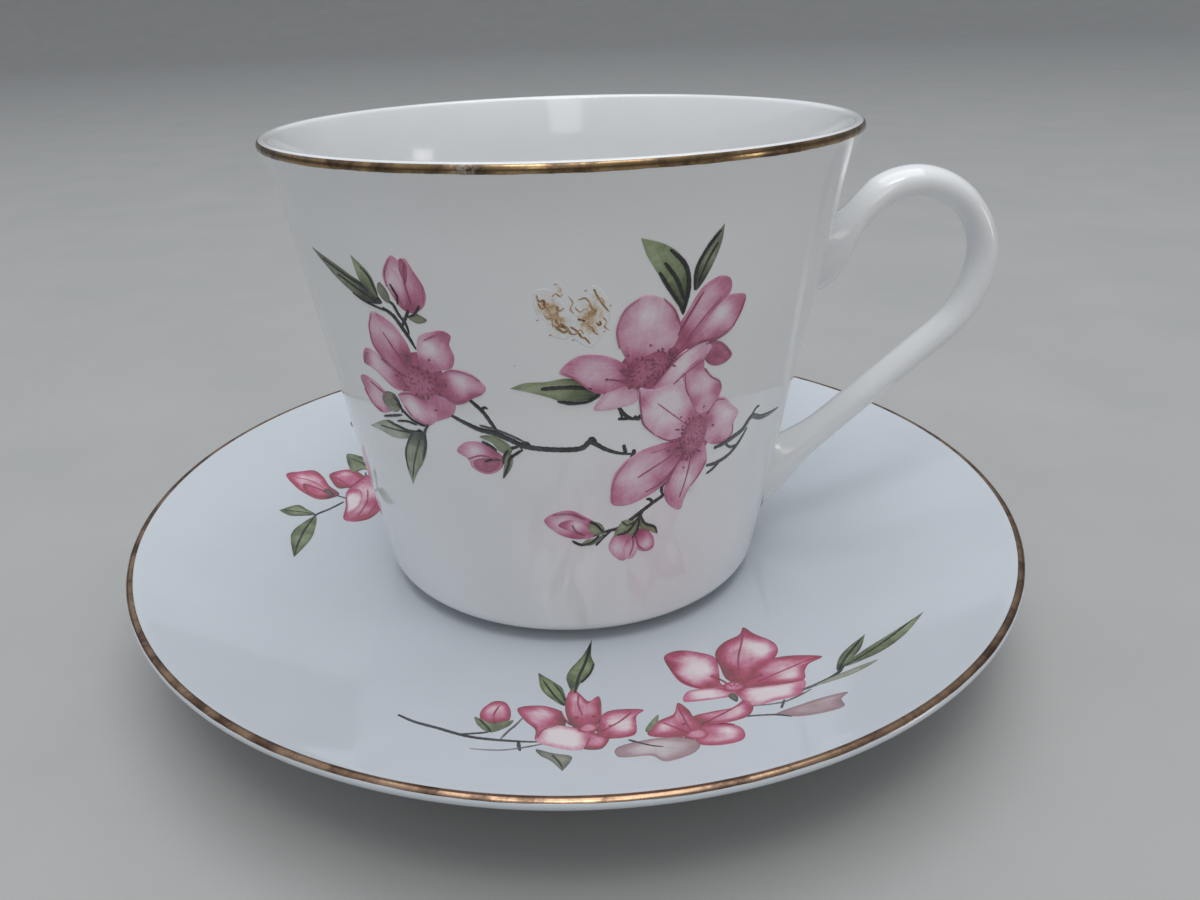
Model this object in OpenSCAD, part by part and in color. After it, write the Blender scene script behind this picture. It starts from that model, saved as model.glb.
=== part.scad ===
// Teacup with a loop handle, standing on its saucer.
// The origin is the middle of the saucer's foot ring, on the table. +Z is up,
// +X points along the handle and -Y is the side with the large blossom spray.

/* [Cup] */
// Height of the cup from its foot to its rim
cup_h = 70; // [66:0.5:74]
// Outer radius of the cup at its rim
cup_rim_r = 42.4; // [41:0.1:46]
// Lean of the straight wall, in degrees from vertical
wall_tilt = 9.1; // [7:0.1:10]
// Extra lean that the lip gains at the rim, in degrees
lip_flare = 12; // [10:0.5:20]
// Radius of the curve that turns the lip outwards
lip_curve_r = 40; // [34:1:44]
// Thickness of the cup's wall
cup_wall = 1.8; // [1.5:0.1:2.2]
// Height of the floor inside the cup above its foot
cup_floor_h = 4.6; // [4:0.1:6]
// Outer radius of the cup's foot ring
cup_foot_r = 25; // [22:0.5:26]

/* [Saucer] */
// Outer radius of the saucer
saucer_r = 71; // [68:0.5:76]
// Height of the saucer from its foot to its rim
saucer_h = 17.7; // [15:0.1:20]
// Height of the flat well that the cup stands on
well_h = 7.4; // [7:0.1:8.5]
// Radius of the flat well
well_r = 27; // [26.5:0.5:29]
// Thickness of the saucer's dished wall
saucer_wall = 1.5; // [1.4:0.1:3]
// Outer radius of the saucer's foot ring
saucer_foot_r = 31.5; // [30.5:0.5:36]

/* [Gilding] */
// How far up the round of the cup's rim its gold runs, in degrees
cup_gold_top = 50; // [30:5:90]

/* [Hidden] */
$fn = 96;

// Gap between the cup's foot and the well, so the cup lifts off freely
seat_gap = 0.1;
seat_z = well_h + seat_gap;
// Decoration is fired into the glaze: how deep it sinks and how far it stands out
film_sunk = 0.3;
film_proud = 0.1;

porcelain = [0.88, 0.90, 0.93];
gold = [0.78, 0.60, 0.30];
rose = [0.80, 0.42, 0.52];

// Points along an arc about a centre, from one angle to another
function arc(centre, r, a0, a1, steps = 8) =
  [for (i = [0 : steps]) let (a = a0 + (a1 - a0) * i / steps) centre + r * [cos(a), sin(a)]];

// Points in the opposite order
function reversed(points) = [for (i = [len(points) - 1 : -1 : 0]) points[i]];

// Smooth value between list items b and c, where t runs from 0 to 1
function catmull(a, b, c, d, t) =
  0.5 * (2 * b + (c - a) * t + (2 * a - 5 * b + 4 * c - d) * t * t + (3 * b - a - 3 * c + d) * t * t * t);

// Cup section: the lip curves about a centre outside the cup
rim_lean = wall_tilt + lip_flare;
rim_c = [cup_rim_r - cup_wall / 2, cup_h - cup_wall / 2];
lip_c = rim_c + (lip_curve_r + cup_wall / 2) * [cos(rim_lean), -sin(rim_lean)];
wall_top = lip_c + lip_curve_r * [-cos(wall_tilt), sin(wall_tilt)];
// Outer radius of the cup's straight wall at a height above its foot
function wall_r(h) = wall_top[0] + (h - wall_top[1]) * tan(wall_tilt);

// Heel: the rounded lower corner, above a recessed foot ring
heel_h = 1.5;
heel_r = 3;
foot_w = 2.3;
foot_recess_h = 1.9;
foot_round_r = 0.5;
heel_c = [wall_r(heel_h + heel_r) - heel_r / cos(wall_tilt), heel_h + heel_r];
// Rounded corner between the inner wall and the floor
bowl_corner_r = 7;
bowl_corner_c = [
  wall_r(cup_floor_h + bowl_corner_r) - (cup_wall + bowl_corner_r) / cos(wall_tilt),
  cup_floor_h + bowl_corner_r
];

// Outer line of the cup from heel to rim, moved outwards by d
function cup_outer(d = 0) = concat(
  arc(heel_c, heel_r + d, -90, -wall_tilt),
  arc(lip_c, lip_curve_r - d, 180 - wall_tilt, 180 - rim_lean)
);
// Inner line of the cup from rim to floor
function cup_inner() = concat(
  arc(lip_c, lip_curve_r + cup_wall, 180 - rim_lean, 180 - wall_tilt),
  arc(bowl_corner_c, bowl_corner_r, -wall_tilt, -90)
);

// Section of a foot ring: outer radius, width, height where its sides meet the body
function foot_ring(r, w, top_out, top_in, round_r) = concat(
  [[r - w, top_in]],
  arc([r - w + round_r, round_r], round_r, 180, 270, 4),
  arc([r - round_r, round_r], round_r, 270, 360, 4),
  [[r, top_out]]
);

// Saucer section: a flat well, then one arc about a centre above it, up to a rounded rim
saucer_rim_c = [saucer_r - saucer_wall / 2, saucer_h - saucer_wall / 2];
dish_run = saucer_rim_c[0] - well_r;
dish_rise = saucer_rim_c[1] - well_h;
dish_curve_r = (dish_run ^ 2 + dish_rise ^ 2 - (saucer_wall / 2) ^ 2) / (2 * (dish_rise + saucer_wall / 2));
dish_c = [well_r, well_h + dish_curve_r];
dish_lean = asin(dish_run / (dish_curve_r + saucer_wall / 2));
saucer_recess_h = 4.2;
saucer_foot_w = 2.6;
foot_lean = asin((saucer_foot_r - well_r) / (dish_curve_r + saucer_wall));
saucer_foot_top = dish_c[1] - (dish_curve_r + saucer_wall) * cos(foot_lean);

// Dished upper line of the saucer from well to rim, moved upwards by d
function dish_upper(d = 0) = arc(dish_c, dish_curve_r - d, -90, -90 + dish_lean, 14);

// Handle: matched points of its outer and inner edges in the plane of the handle,
// and its width across: [outer x, outer height, inner x, inner height, width]
HANDLE = [
  [36, 51, 34, 42, 8.4],
  [39.5, 53.8, 38.4, 43, 8],
  [42.5, 56.2, 41.6, 44.8, 7.6],
  [44.6, 58.4, 43.3, 48.2, 7.2],
  [46.7, 60.4, 44.4, 51.2, 6.9],
  [50, 61.7, 48.2, 55.6, 6.6],
  [54, 61.9, 53, 57.2, 6.4],
  [58.2, 60.6, 56.6, 56.4, 6.2],
  [62, 57.8, 59.7, 54.3, 6.2],
  [65.2, 53.1, 61.6, 51.1, 6.2],
  [66.4, 47.6, 62.2, 47.6, 6.2],
  [65.4, 41.6, 61.2, 43, 6.2],
  [62.6, 36.6, 59, 39, 6.2],
  [56.6, 30.8, 53.6, 33.8, 6],
  [50.3, 25, 47.3, 28, 6],
  [44, 19, 40.9, 22.2, 6.2],
  [39.4, 14.4, 37.3, 19.8, 6.8],
  [35.5, 9.2, 34.6, 18.6, 8],
  [32.5, 6, 31.5, 17.6, 9]
];
handle_sides = 16;
handle_steps = 3;
// How far the handle's ends sink into the cup's wall
handle_sunk = 0.9;

// Sprays on the cup. Places are [degrees to the right of the front, height above the foot].
// Flower: place, then one [direction, length, width] for each petal.
CUP_FLOWERS = [
  [[-29, 42.5], [[126, 10.5, 7], [51, 8.3, 6], [0, 8.4, 5], [175, 11, 5], [259, 6.6, 6], [198, 13, 5.5]]],
  [[14.5, 44], [[172, 10.4, 5.5], [93, 10.4, 7], [45, 15, 7], [3, 12.3, 4.5], [219, 7, 4]]],
  [[24, 35.5], [[123, 9.5, 6.5], [64, 8.9, 5], [-5, 9.4, 6], [223, 13.2, 8], [274, 13, 6]]]
];
// Buds and leaves: place of the base, direction, length, width
CUP_BUDS = [
  [[-30, 51.5], 90, 7.5, 4.6],
  [[-13.5, 33], 190, 7, 4.2],
  [[5, 19.5], 160, 7.4, 4.6],
  [[16, 20], 245, 6.4, 5.4]
];
CUP_LEAVES = [
  [[-35, 51.8], 150, 14, 3.4],
  [[-35.5, 52], 122, 6, 2.4],
  [[-36, 35], 190, 9.6, 2.8],
  [[-31, 36], 244, 12, 3.4],
  [[-14, 35], 120, 3.6, 2.2],
  [[6, 42], 175, 11, 3.4],
  [[21, 51], 124, 11, 3.4],
  [[22.5, 52], 72, 10, 2.4]
];
CUP_TWIGS = [
  [[-35, 52], [-32, 49.8], [-29, 46]],
  [[-30, 52], [-32, 49.8]],
  [[-31, 36], [-29, 42]],
  [[-36, 35], [-31, 36.5]],
  [[-26, 40], [-16, 36], [-9, 34.3]],
  [[-11, 34.5], [-4, 34.1], [4, 34.2], [8, 33.5], [13, 32.5], [20, 34]],
  [[-20, 42], [-16.5, 38.5], [-13.5, 35.5]],
  [[-13.5, 33], [-10, 34.3]],
  [[14.5, 42], [10.5, 38], [13.5, 37.5]],
  [[26, 35], [33.5, 30.5], [39, 31.5], [44, 33], [57, 32]],
  [[25, 32], [31.5, 27.5], [37, 28], [41.5, 29], [43.5, 32.5]],
  [[24, 30], [21.5, 25.2], [17, 23], [12, 20.8], [5, 18.8], [4, 20]],
  [[17, 23], [16, 19]],
  [[21, 51], [20, 46]],
  [[22.5, 52], [23, 47]]
];
BACK_FLOWERS = [[[180, 40], [[100, 9, 6.5], [30, 9.5, 6], [-45, 7, 5], [-110, 8, 6], [170, 9.5, 6]]]];
BACK_BUDS = [[[167, 48], 110, 6.6, 4.2]];
BACK_LEAVES = [[[193, 46], 55, 9, 3], [[189, 33], -40, 9.5, 3], [[166, 33], 215, 8, 2.8]];
BACK_TWIGS = [
  [[181, 40], [188, 44], [193, 46]],
  [[178, 41], [170, 46], [167, 48.5]],
  [[180, 39], [184, 34], [189, 33]],
  [[180, 39], [172, 34.5], [166, 33]]
];
// Twig width, heart radius of a flower, how far a bud or leaf starts behind its place so
// that it joins its twig, and the straight steps along each edge of a petal
twig_w = 0.9;
flower_heart_r = 1.4;
blade_root = 1.2;
blade_steps = 5;

// Gold flecks: the middle of the patch, its half width and half height, and their number
flecks_at = [0.5, 52.5];
flecks_half = [3.9, 3.8];
fleck_count = 14;
golden_angle = 137.5;

// Sprays on the saucer. Places are [x, y] in the frame of the whole object.
SAUCER_FLOWERS = [
  [[0.5, -51.5], [[95, 7.5, 4], [155, 8.6, 4.4], [15, 8, 3.6], [290, 6.6, 4.2], [225, 7, 4]]],
  [[13.5, -55.5], [[92, 7.2, 4], [35, 8.8, 3.8], [-15, 7, 3.8], [240, 6.6, 4.6], [200, 7, 3.6]]],
  [[22.5, -45], [[80, 15, 8], [135, 13.4, 6.6], [22, 11.6, 6], [195, 8, 3.2], [-25, 7.6, 3.2]]]
];
SAUCER_BUDS = [
  [[-11, -51.6], 85, 6, 3.6],
  [[22.5, -53], 0, 10, 2.8]
];
SAUCER_LEAVES = [
  [[-11, -50], 250, 4, 2.2],
  [[-1.5, -44.5], 118, 6, 2.2],
  [[-0.8, -44.5], 76, 13.6, 3],
  [[33, -45.6], 40, 10.4, 1.9],
  [[33, -46], 34, 19.4, 1.9],
  [[-4.6, -58.6], 320, 5, 3]
];
SAUCER_TWIGS = [
  [[-22, -50.5], [-16, -54], [-10, -55.8], [-5, -56.5], [0, -53]],
  [[-11, -51], [-11, -55.4]],
  [[-8, -52.4], [-5, -50]],
  [[-1, -45], [0, -50]],
  [[-4.6, -58.6], [-3, -55]],
  [[14, -54], [20, -52.5], [26, -50.5]],
  [[24, -47], [29, -47.4], [33.4, -45.8]],
  [[6, -53], [10, -56]],
  [[17, -53], [21, -47]]
];
SIDE_FLOWERS = [[[-43, 14.5], [[112, 9, 5.4], [55, 8, 5.4], [-2, 6, 5.4], [-58, 8.6, 4.4]]]];
SIDE_BUDS = [[[-45.4, 15], 150, 8.6, 5]];
SIDE_LEAVES = [
  [[-38.6, 24.6], 140, 7, 2.6],
  [[-45.8, 7.2], 172, 6, 2.2],
  [[-46.6, 4.6], 270, 11.8, 3]
];
SIDE_TWIGS = [
  [[-43, 14], [-45, 9], [-46.6, 4]],
  [[-45, 8.4], [-46.4, 7]],
  [[-39, 20], [-38.4, 25]],
  [[-42.6, 14.6], [-46, 15.4]]
];

// Outline of a leaf or petal along +X from the origin: fullness above 1 moves the belly
// from the middle towards the tip
function blade(length, width, fullness) = [
  for (side = [1, -1], i = [0 : blade_steps - 1])
    let (t = side > 0 ? i / blade_steps : 1 - i / blade_steps)
    [length * t, side * width / 2 * sin(180 * t ^ fullness)]
];

// A leaf, pointed at both ends
module leaf_shape(length, width) {
  polygon(blade(length, width, 1));
}

// A petal, with its belly near its tip
module petal_shape(length, width) {
  polygon(blade(length, width, 1.5));
}

// A twig through a list of points
module twig_shape(points, width) {
  last = len(points) - 1;
  sides = [
    for (i = [0 : last])
      let (run = points[min(i + 1, last)] - points[max(i - 1, 0)])
      width / 2 * [-run[1], run[0]] / norm(run)
  ];
  polygon(concat(
    [for (i = [0 : last]) points[i] + sides[i]],
    [for (i = [last : -1 : 0]) points[i] - sides[i]]
  ));
}

// One spray drawn flat, from lists whose places are already flat points
module spray_shape(flowers, buds, leaves, twigs) {
  for (f = flowers) translate(f[0]) {
    circle(flower_heart_r, $fn = 8);
    for (p = f[1]) rotate(p[0]) petal_shape(p[1], p[2]);
  }
  for (b = buds) translate(b[0]) rotate(b[1]) translate([-blade_root, 0]) petal_shape(b[2], b[3]);
  for (l = leaves) translate(l[0]) rotate(l[1]) translate([-blade_root, 0]) leaf_shape(l[2], l[3]);
  for (t = twigs) twig_shape(t, twig_w);
}

// A place on the cup's wall as a point in the flat plane that faces azimuth mid
function flat_place(place, mid) = [wall_r(place[1]) * sin(place[0] - mid), place[1]];
function flat_items(items, mid) = [for (i = items) [flat_place(i[0], mid), i[1], i[2], i[3]]];
function flat_twigs(twigs, mid) = [for (t = twigs) [for (p = t) flat_place(p, mid)]];
// The items whose azimuth lies between lo and hi
function between(items, lo, hi) = [for (i = items) if (i[0][0] >= lo && i[0][0] < hi) i];

// The skin of glaze that the cup's decoration is fired into
module cup_skin() {
  rotate_extrude() polygon(concat(cup_outer(film_proud), reversed(cup_outer(-film_sunk))));
}

// Whatever flat shape is drawn, pushed outwards through the cup's wall at azimuth mid
module through_wall(mid) {
  rotate([0, 0, mid - 90]) translate([25, 0, 0]) rotate([90, 0, 90]) linear_extrude(25) children();
}

// The part of a spray that lies between two azimuths, fired on the cup
module cup_spray_part(lo, hi, flowers, buds, leaves, twigs) {
  mid = (lo + hi) / 2;
  through_wall(mid) spray_shape(
    flat_items(between(flowers, lo, hi), mid), flat_items(between(buds, lo, hi), mid),
    flat_items(between(leaves, lo, hi), mid), flat_twigs(between(twigs, lo, hi), mid)
  );
}

// The same band of glaze on the saucer's upper face
module saucer_skin() {
  rotate_extrude() polygon(concat(dish_upper(film_proud), reversed(dish_upper(-film_sunk))));
}

module saucer_dish() {
  color(porcelain)
  rotate_extrude() polygon(concat(
    [[0, saucer_recess_h]],
    foot_ring(saucer_foot_r, saucer_foot_w, saucer_foot_top, saucer_recess_h, 0.6),
    arc(dish_c, dish_curve_r + saucer_wall, -90 + foot_lean, -90 + dish_lean, 12),
    arc(saucer_rim_c, saucer_wall / 2, -90 + dish_lean, 90 + dish_lean),
    reversed(dish_upper()),
    [[0, well_h]]
  ));
}

// Gold over the top of the saucer's rim
module saucer_rim_gilding() {
  color(gold)
  rotate_extrude() polygon(concat(
    arc(saucer_rim_c, saucer_wall / 2, 35, 90 + dish_lean),
    arc(saucer_rim_c, saucer_wall / 2 - film_sunk, 90 + dish_lean, 35)
  ));
}

module saucer_front_transfer() {
  color(rose)
  intersection() {
    saucer_skin();
    linear_extrude(saucer_h) spray_shape(SAUCER_FLOWERS, SAUCER_BUDS, SAUCER_LEAVES, SAUCER_TWIGS);
  }
}

module saucer_side_transfer() {
  color(rose)
  intersection() {
    saucer_skin();
    linear_extrude(saucer_h) spray_shape(SIDE_FLOWERS, SIDE_BUDS, SIDE_LEAVES, SIDE_TWIGS);
  }
}

module cup_bowl() {
  color(porcelain)
  translate([0, 0, seat_z])
  rotate_extrude() polygon(concat(
    [[0, foot_recess_h]],
    foot_ring(cup_foot_r, foot_w, heel_h, foot_recess_h, foot_round_r),
    cup_outer(),
    arc(rim_c, cup_wall / 2, -rim_lean, 180 - rim_lean),
    cup_inner(),
    [[0, cup_floor_h]]
  ));
}

// The loop swept along its matched edges, before it is trimmed to the wall
module handle_sweep() {
  last = len(HANDLE) - 1;
  stations = [
    for (i = [0 : last - 1], s = [0 : handle_steps - 1])
      catmull(HANDLE[max(i - 1, 0)], HANDLE[i], HANDLE[i + 1], HANDLE[min(i + 2, last)], s / handle_steps),
    HANDLE[last]
  ];
  rings = len(stations);
  points = [
    for (s = stations, k = [0 : handle_sides - 1])
      let (
        a = 360 * k / handle_sides,
        middle = [s[0] + s[2], s[1] + s[3]] / 2,
        half = [s[0] - s[2], s[1] - s[3]] / 2,
        p = middle + half * cos(a)
      )
      [p[0], s[4] / 2 * sin(a), p[1]]
  ];
  polyhedron(
    points = points,
    faces = concat(
      [[for (k = [0 : handle_sides - 1]) k]],
      [[for (k = [handle_sides - 1 : -1 : 0]) (rings - 1) * handle_sides + k]],
      [
        for (r = [0 : rings - 2], k = [0 : handle_sides - 1])
          let (n = (k + 1) % handle_sides, a = r * handle_sides, b = a + handle_sides)
          each [[a + k, b + k, b + n], [a + k, b + n, a + n]]
      ]
    )
  );
}

module cup_handle() {
  color(porcelain)
  translate([0, 0, seat_z])
  difference() {
    handle_sweep();
    cylinder(h = cup_h, r1 = wall_r(0) - handle_sunk, r2 = wall_r(cup_h) - handle_sunk);
  }
}

// Gold over the outer edge of the cup's rim
module cup_rim_gilding() {
  color(gold)
  translate([0, 0, seat_z])
  rotate_extrude() polygon(concat(
    arc(rim_c, cup_wall / 2, -rim_lean, cup_gold_top),
    arc(rim_c, cup_wall / 2 - film_sunk, cup_gold_top, -rim_lean)
  ));
}

module cup_front_transfer() {
  color(rose)
  translate([0, 0, seat_z])
  intersection() {
    cup_skin();
    union() {
      cup_spray_part(-60, -15, CUP_FLOWERS, CUP_BUDS, CUP_LEAVES, CUP_TWIGS);
      cup_spray_part(-15, 10, CUP_FLOWERS, CUP_BUDS, CUP_LEAVES, CUP_TWIGS);
      cup_spray_part(10, 60, CUP_FLOWERS, CUP_BUDS, CUP_LEAVES, CUP_TWIGS);
    }
  }
}

module cup_back_transfer() {
  color(rose)
  translate([0, 0, seat_z])
  intersection() {
    cup_skin();
    cup_spray_part(150, 210, BACK_FLOWERS, BACK_BUDS, BACK_LEAVES, BACK_TWIGS);
  }
}

// Worn flecks of gold, scattered over an oval patch
module cup_gold_flecks() {
  color(gold)
  translate([0, 0, seat_z])
  intersection() {
    cup_skin();
    through_wall(flecks_at[0]) for (i = [1 : fleck_count])
      let (a = i * golden_angle, reach = sqrt(i / fleck_count))
      translate([0, flecks_at[1]] + reach * [flecks_half[0] * cos(a), flecks_half[1] * sin(a)])
      rotate(35 + 70 * sin(a)) leaf_shape(1.5 - 0.6 * reach, 0.6);
  }
}

saucer_dish();
saucer_rim_gilding();
saucer_front_transfer();
saucer_side_transfer();
cup_bowl();
cup_handle();
cup_rim_gilding();
cup_front_transfer();
cup_back_transfer();
cup_gold_flecks();
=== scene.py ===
import math
import random

import bpy
from mathutils import Matrix, Vector


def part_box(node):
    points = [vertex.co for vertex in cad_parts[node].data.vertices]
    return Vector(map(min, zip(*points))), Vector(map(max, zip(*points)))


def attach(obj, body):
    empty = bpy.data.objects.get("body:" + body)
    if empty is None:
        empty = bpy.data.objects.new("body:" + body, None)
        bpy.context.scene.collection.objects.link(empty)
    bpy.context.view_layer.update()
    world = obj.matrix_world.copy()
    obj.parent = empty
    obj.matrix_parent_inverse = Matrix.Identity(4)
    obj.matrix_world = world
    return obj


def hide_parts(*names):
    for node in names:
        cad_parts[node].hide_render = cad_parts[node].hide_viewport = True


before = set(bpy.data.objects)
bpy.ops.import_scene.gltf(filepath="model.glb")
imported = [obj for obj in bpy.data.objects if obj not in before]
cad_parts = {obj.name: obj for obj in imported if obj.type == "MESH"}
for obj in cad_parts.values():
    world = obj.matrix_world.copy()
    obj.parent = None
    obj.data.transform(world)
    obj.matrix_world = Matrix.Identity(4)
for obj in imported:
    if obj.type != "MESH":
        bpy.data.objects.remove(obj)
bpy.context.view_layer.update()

MM = 0.001
random.seed(7)           # painted lines waver at random, but the same way in each run


# ---------------------------------------------------------------- sizes from the frame

def node_box(name):
    """Lowest and highest corner of a CAD node in millimetres."""
    low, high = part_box(name)
    return Vector(low) / MM, Vector(high) / MM


bowl_low, bowl_high = node_box("cup_bowl")
dish_high = node_box("saucer_dish")[1]

SEAT_Z = bowl_low.z                      # the cup's foot stands at this height
CUP_H = bowl_high.z - bowl_low.z
CUP_RIM_R = bowl_high.x
WALL_TILT = math.radians(9.1)
RIM_TILT = math.radians(21.1)
LIP_CURVE_R = 40.0
CUP_WALL = 1.8
CUP_FLOOR_H = 4.6
HEEL_H, HEEL_R = 1.5, 3.0
CUP_FOOT_R, CUP_FOOT_W, CUP_RECESS_H = 25.0, 2.3, 1.9
FLOOR_CORNER_R = 7.0

SAUCER_R = dish_high.x
SAUCER_H = dish_high.z
WELL_H, WELL_R = 7.4, 27.0
SAUCER_WALL = 1.5
SAUCER_FOOT_R, SAUCER_FOOT_W, SAUCER_RECESS_H = 31.5, 2.6, 4.2

CUP_FOOT_ROUND_R, SAUCER_FOOT_ROUND_R = 0.5, 0.6
FOOT_CHAMFER_W, FOOT_CHAMFER_H = 0.35, 0.3     # between a foot ring's outside and the body
BARE_FOOT_H = 0.25                             # a foot ring has no glaze below this height
CORNER_GUARD = 0.4       # a ring of points this near a corner keeps its shading crisp


def arc(centre, radius, start, end, steps):
    """Points (r, z) along an arc. Angles are in radians."""
    angles = [start + (end - start) * i / steps for i in range(steps + 1)]
    return [(centre[0] + radius * math.cos(a), centre[1] + radius * math.sin(a)) for a in angles]


# Cup section: a straight wall, then a lip that curves about a centre outside the cup
RIM_C = (CUP_RIM_R - CUP_WALL / 2, CUP_H - CUP_WALL / 2)
LIP_C = (
    RIM_C[0] + (LIP_CURVE_R + CUP_WALL / 2) * math.cos(RIM_TILT),
    RIM_C[1] - (LIP_CURVE_R + CUP_WALL / 2) * math.sin(RIM_TILT),
)
WALL_TOP = (
    LIP_C[0] - LIP_CURVE_R * math.cos(WALL_TILT),
    LIP_C[1] + LIP_CURVE_R * math.sin(WALL_TILT),
)


def wall_r(h):
    """Outer radius of the cup at a height above its foot."""
    if h <= WALL_TOP[1]:
        return WALL_TOP[0] + (h - WALL_TOP[1]) * math.tan(WALL_TILT)
    return LIP_C[0] - math.sqrt(LIP_CURVE_R ** 2 - (h - LIP_C[1]) ** 2)


HEEL_C = (wall_r(HEEL_H + HEEL_R) - HEEL_R / math.cos(WALL_TILT), HEEL_H + HEEL_R)
CORNER_C = (
    wall_r(CUP_FLOOR_H + FLOOR_CORNER_R) - (CUP_WALL + FLOOR_CORNER_R) / math.cos(WALL_TILT),
    CUP_FLOOR_H + FLOOR_CORNER_R,
)

# Saucer section: a flat well, then one arc about a centre above it
SAUCER_RIM_C = (SAUCER_R - SAUCER_WALL / 2, SAUCER_H - SAUCER_WALL / 2)
DISH_RUN = SAUCER_RIM_C[0] - WELL_R
DISH_RISE = SAUCER_RIM_C[1] - WELL_H
DISH_CURVE_R = (
    (DISH_RUN ** 2 + DISH_RISE ** 2 - (SAUCER_WALL / 2) ** 2) / (2 * (DISH_RISE + SAUCER_WALL / 2))
)
DISH_C = (WELL_R, WELL_H + DISH_CURVE_R)
DISH_LEAN = math.asin(DISH_RUN / (DISH_CURVE_R + SAUCER_WALL / 2))


def dish_z(r):
    """Height of the saucer's upper face at a radius."""
    if r <= WELL_R:
        return WELL_H
    return DISH_C[1] - math.sqrt(DISH_CURVE_R ** 2 - (r - WELL_R) ** 2)


# ---------------------------------------------------------------- mesh helpers

def new_object(name, verts, faces, attributes=None, flat=()):
    """A mesh object from points in millimetres, with one float attribute for each given list.
    flat holds the numbers of the faces that aren't shaded smooth."""
    mesh = bpy.data.meshes.new(name)
    mesh.from_pydata([Vector(v) * MM for v in verts], [], faces)
    for key, values in (attributes or {}).items():
        layer = mesh.attributes.new(key, "FLOAT", "POINT")
        layer.data.foreach_set("value", values)
    mesh.polygons.foreach_set("use_smooth", [i not in flat for i in range(len(faces))])
    mesh.update()
    obj = bpy.data.objects.new(name, mesh)
    bpy.context.scene.collection.objects.link(obj)
    return obj


def finish_piece(obj, material, body, node):
    """Gives a piece its material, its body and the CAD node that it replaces."""
    obj.data.materials.append(material)
    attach(obj, body)
    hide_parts(node)


def straight(start, end, step):
    """Points between two section points, without the first, about a step apart."""
    count = max(1, round(math.dist(start, end) / step))
    return [
        (start[0] + (end[0] - start[0]) * i / count, start[1] + (end[1] - start[1]) * i / count)
        for i in range(1, count + 1)
    ]


def lathe(name, section, base_z, segments):
    """A closed solid of revolution. The section runs from axis to axis, in heights above base_z.
    The attribute 'bare' is 1 on the unglazed bottom of a foot ring."""
    verts, bare = [], []
    rings = section[1:-1]
    for r, z in rings:
        for s in range(segments):
            a = 2 * math.pi * s / segments
            verts.append((r * math.cos(a), r * math.sin(a), base_z + z))
        bare += [1.0 if z < BARE_FOOT_H else 0.0] * segments
    faces = []
    for j in range(len(rings) - 1):
        low, high = j * segments, (j + 1) * segments
        for s in range(segments):
            n = (s + 1) % segments
            faces.append((low + s, low + n, high + n, high + s))
    first, last = len(verts), len(verts) + 1
    verts += [(0, 0, base_z + section[0][1]), (0, 0, base_z + section[-1][1])]
    bare += [0.0, 0.0]
    top = (len(rings) - 1) * segments
    for s in range(segments):
        n = (s + 1) % segments
        faces.append((first, n, s))
        faces.append((last, top + s, top + n))
    return new_object(name, verts, faces, {"bare": bare})


BAND_SEGMENTS = 512


def ring_band(name, outer, inner, base_z, wear):
    """A closed ring around the axis between two section lines that run the same way. At each
    angle, wear gives the share by which the lines start later, and how worn the gold is."""
    count = len(outer)
    verts, worn = [], []
    for s in range(BAND_SEGMENTS):
        a = 2 * math.pi * s / BAND_SEGMENTS
        pull, value = wear(a)
        for line in (outer, inner):
            for i in range(count):
                t = pull + (1 - pull) * i / (count - 1)
                k = min(int(t * (count - 1)), count - 2)
                f = t * (count - 1) - k
                r = line[k][0] + (line[k + 1][0] - line[k][0]) * f
                z = line[k][1] + (line[k + 1][1] - line[k][1]) * f
                verts.append((r * math.cos(a), r * math.sin(a), base_z + z))
                worn.append(value)
    faces = []
    loop = 2 * count
    for s in range(BAND_SEGMENTS):
        b, n = s * loop, (s + 1) % BAND_SEGMENTS * loop
        for i in range(count - 1):
            faces.append((b + i, n + i, n + i + 1, b + i + 1))
            faces.append((b + count + i + 1, n + count + i + 1, n + count + i, b + count + i))
        faces.append((b + count, n + count, n, b))
        faces.append((b + count - 1, n + count - 1, n + loop - 1, b + loop - 1))
    return new_object(name, verts, faces, {"wear": worn})


def catmull(a, b, c, d, t):
    """Value between b and c on a smooth curve."""
    squared = 2 * a - 5 * b + 4 * c - d
    cubed = 3 * b - a - 3 * c + d
    return 0.5 * (2 * b + (c - a) * t + squared * t ** 2 + cubed * t ** 3)


def smooth_points(points, closed, step):
    """Points about a step apart on a smooth curve through the given 2D points. A point given
    twice is a corner."""
    count = len(points)
    dense = []
    spans = count if closed else count - 1
    for i in range(spans):
        near = [i + k for k in (-1, 0, 1, 2)]
        index = [k % count if closed else min(max(k, 0), count - 1) for k in near]
        a, b, c, d = [Vector(points[k]) for k in index]
        if (c - b).length < 1e-6:
            continue
        pieces = max(2, round((c - b).length / step * 1.5))
        dense += [catmull(a, b, c, d, k / pieces) for k in range(pieces)]
    if not closed:
        dense.append(Vector(points[-1]))
    return dense


# ---------------------------------------------------------------- drawing on the china

# Degrees of azimuth on the cup are drawn as if on a wall of this radius
CUP_DRAW_R = 37.0
CUP_DRAW_SCALE = math.radians(CUP_DRAW_R)      # millimetres for each degree


def on_cup(p, lift):
    """A drawn point (degrees right of the front x CUP_DRAW_SCALE, height above the foot) on
    the cup's wall."""
    a = math.radians(p[0] / CUP_DRAW_SCALE)
    r = wall_r(p[1]) + lift
    return (r * math.sin(a), -r * math.cos(a), SEAT_Z + p[1])


def on_saucer(p, lift):
    """A drawn point (x, y) on the saucer's upper face."""
    return (p[0], p[1], dish_z(math.hypot(p[0], p[1])) + lift)


def cup_units(p):
    """A listed place on the cup, in degrees and height, as a drawn point."""
    return (p[0] * CUP_DRAW_SCALE, p[1])


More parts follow.
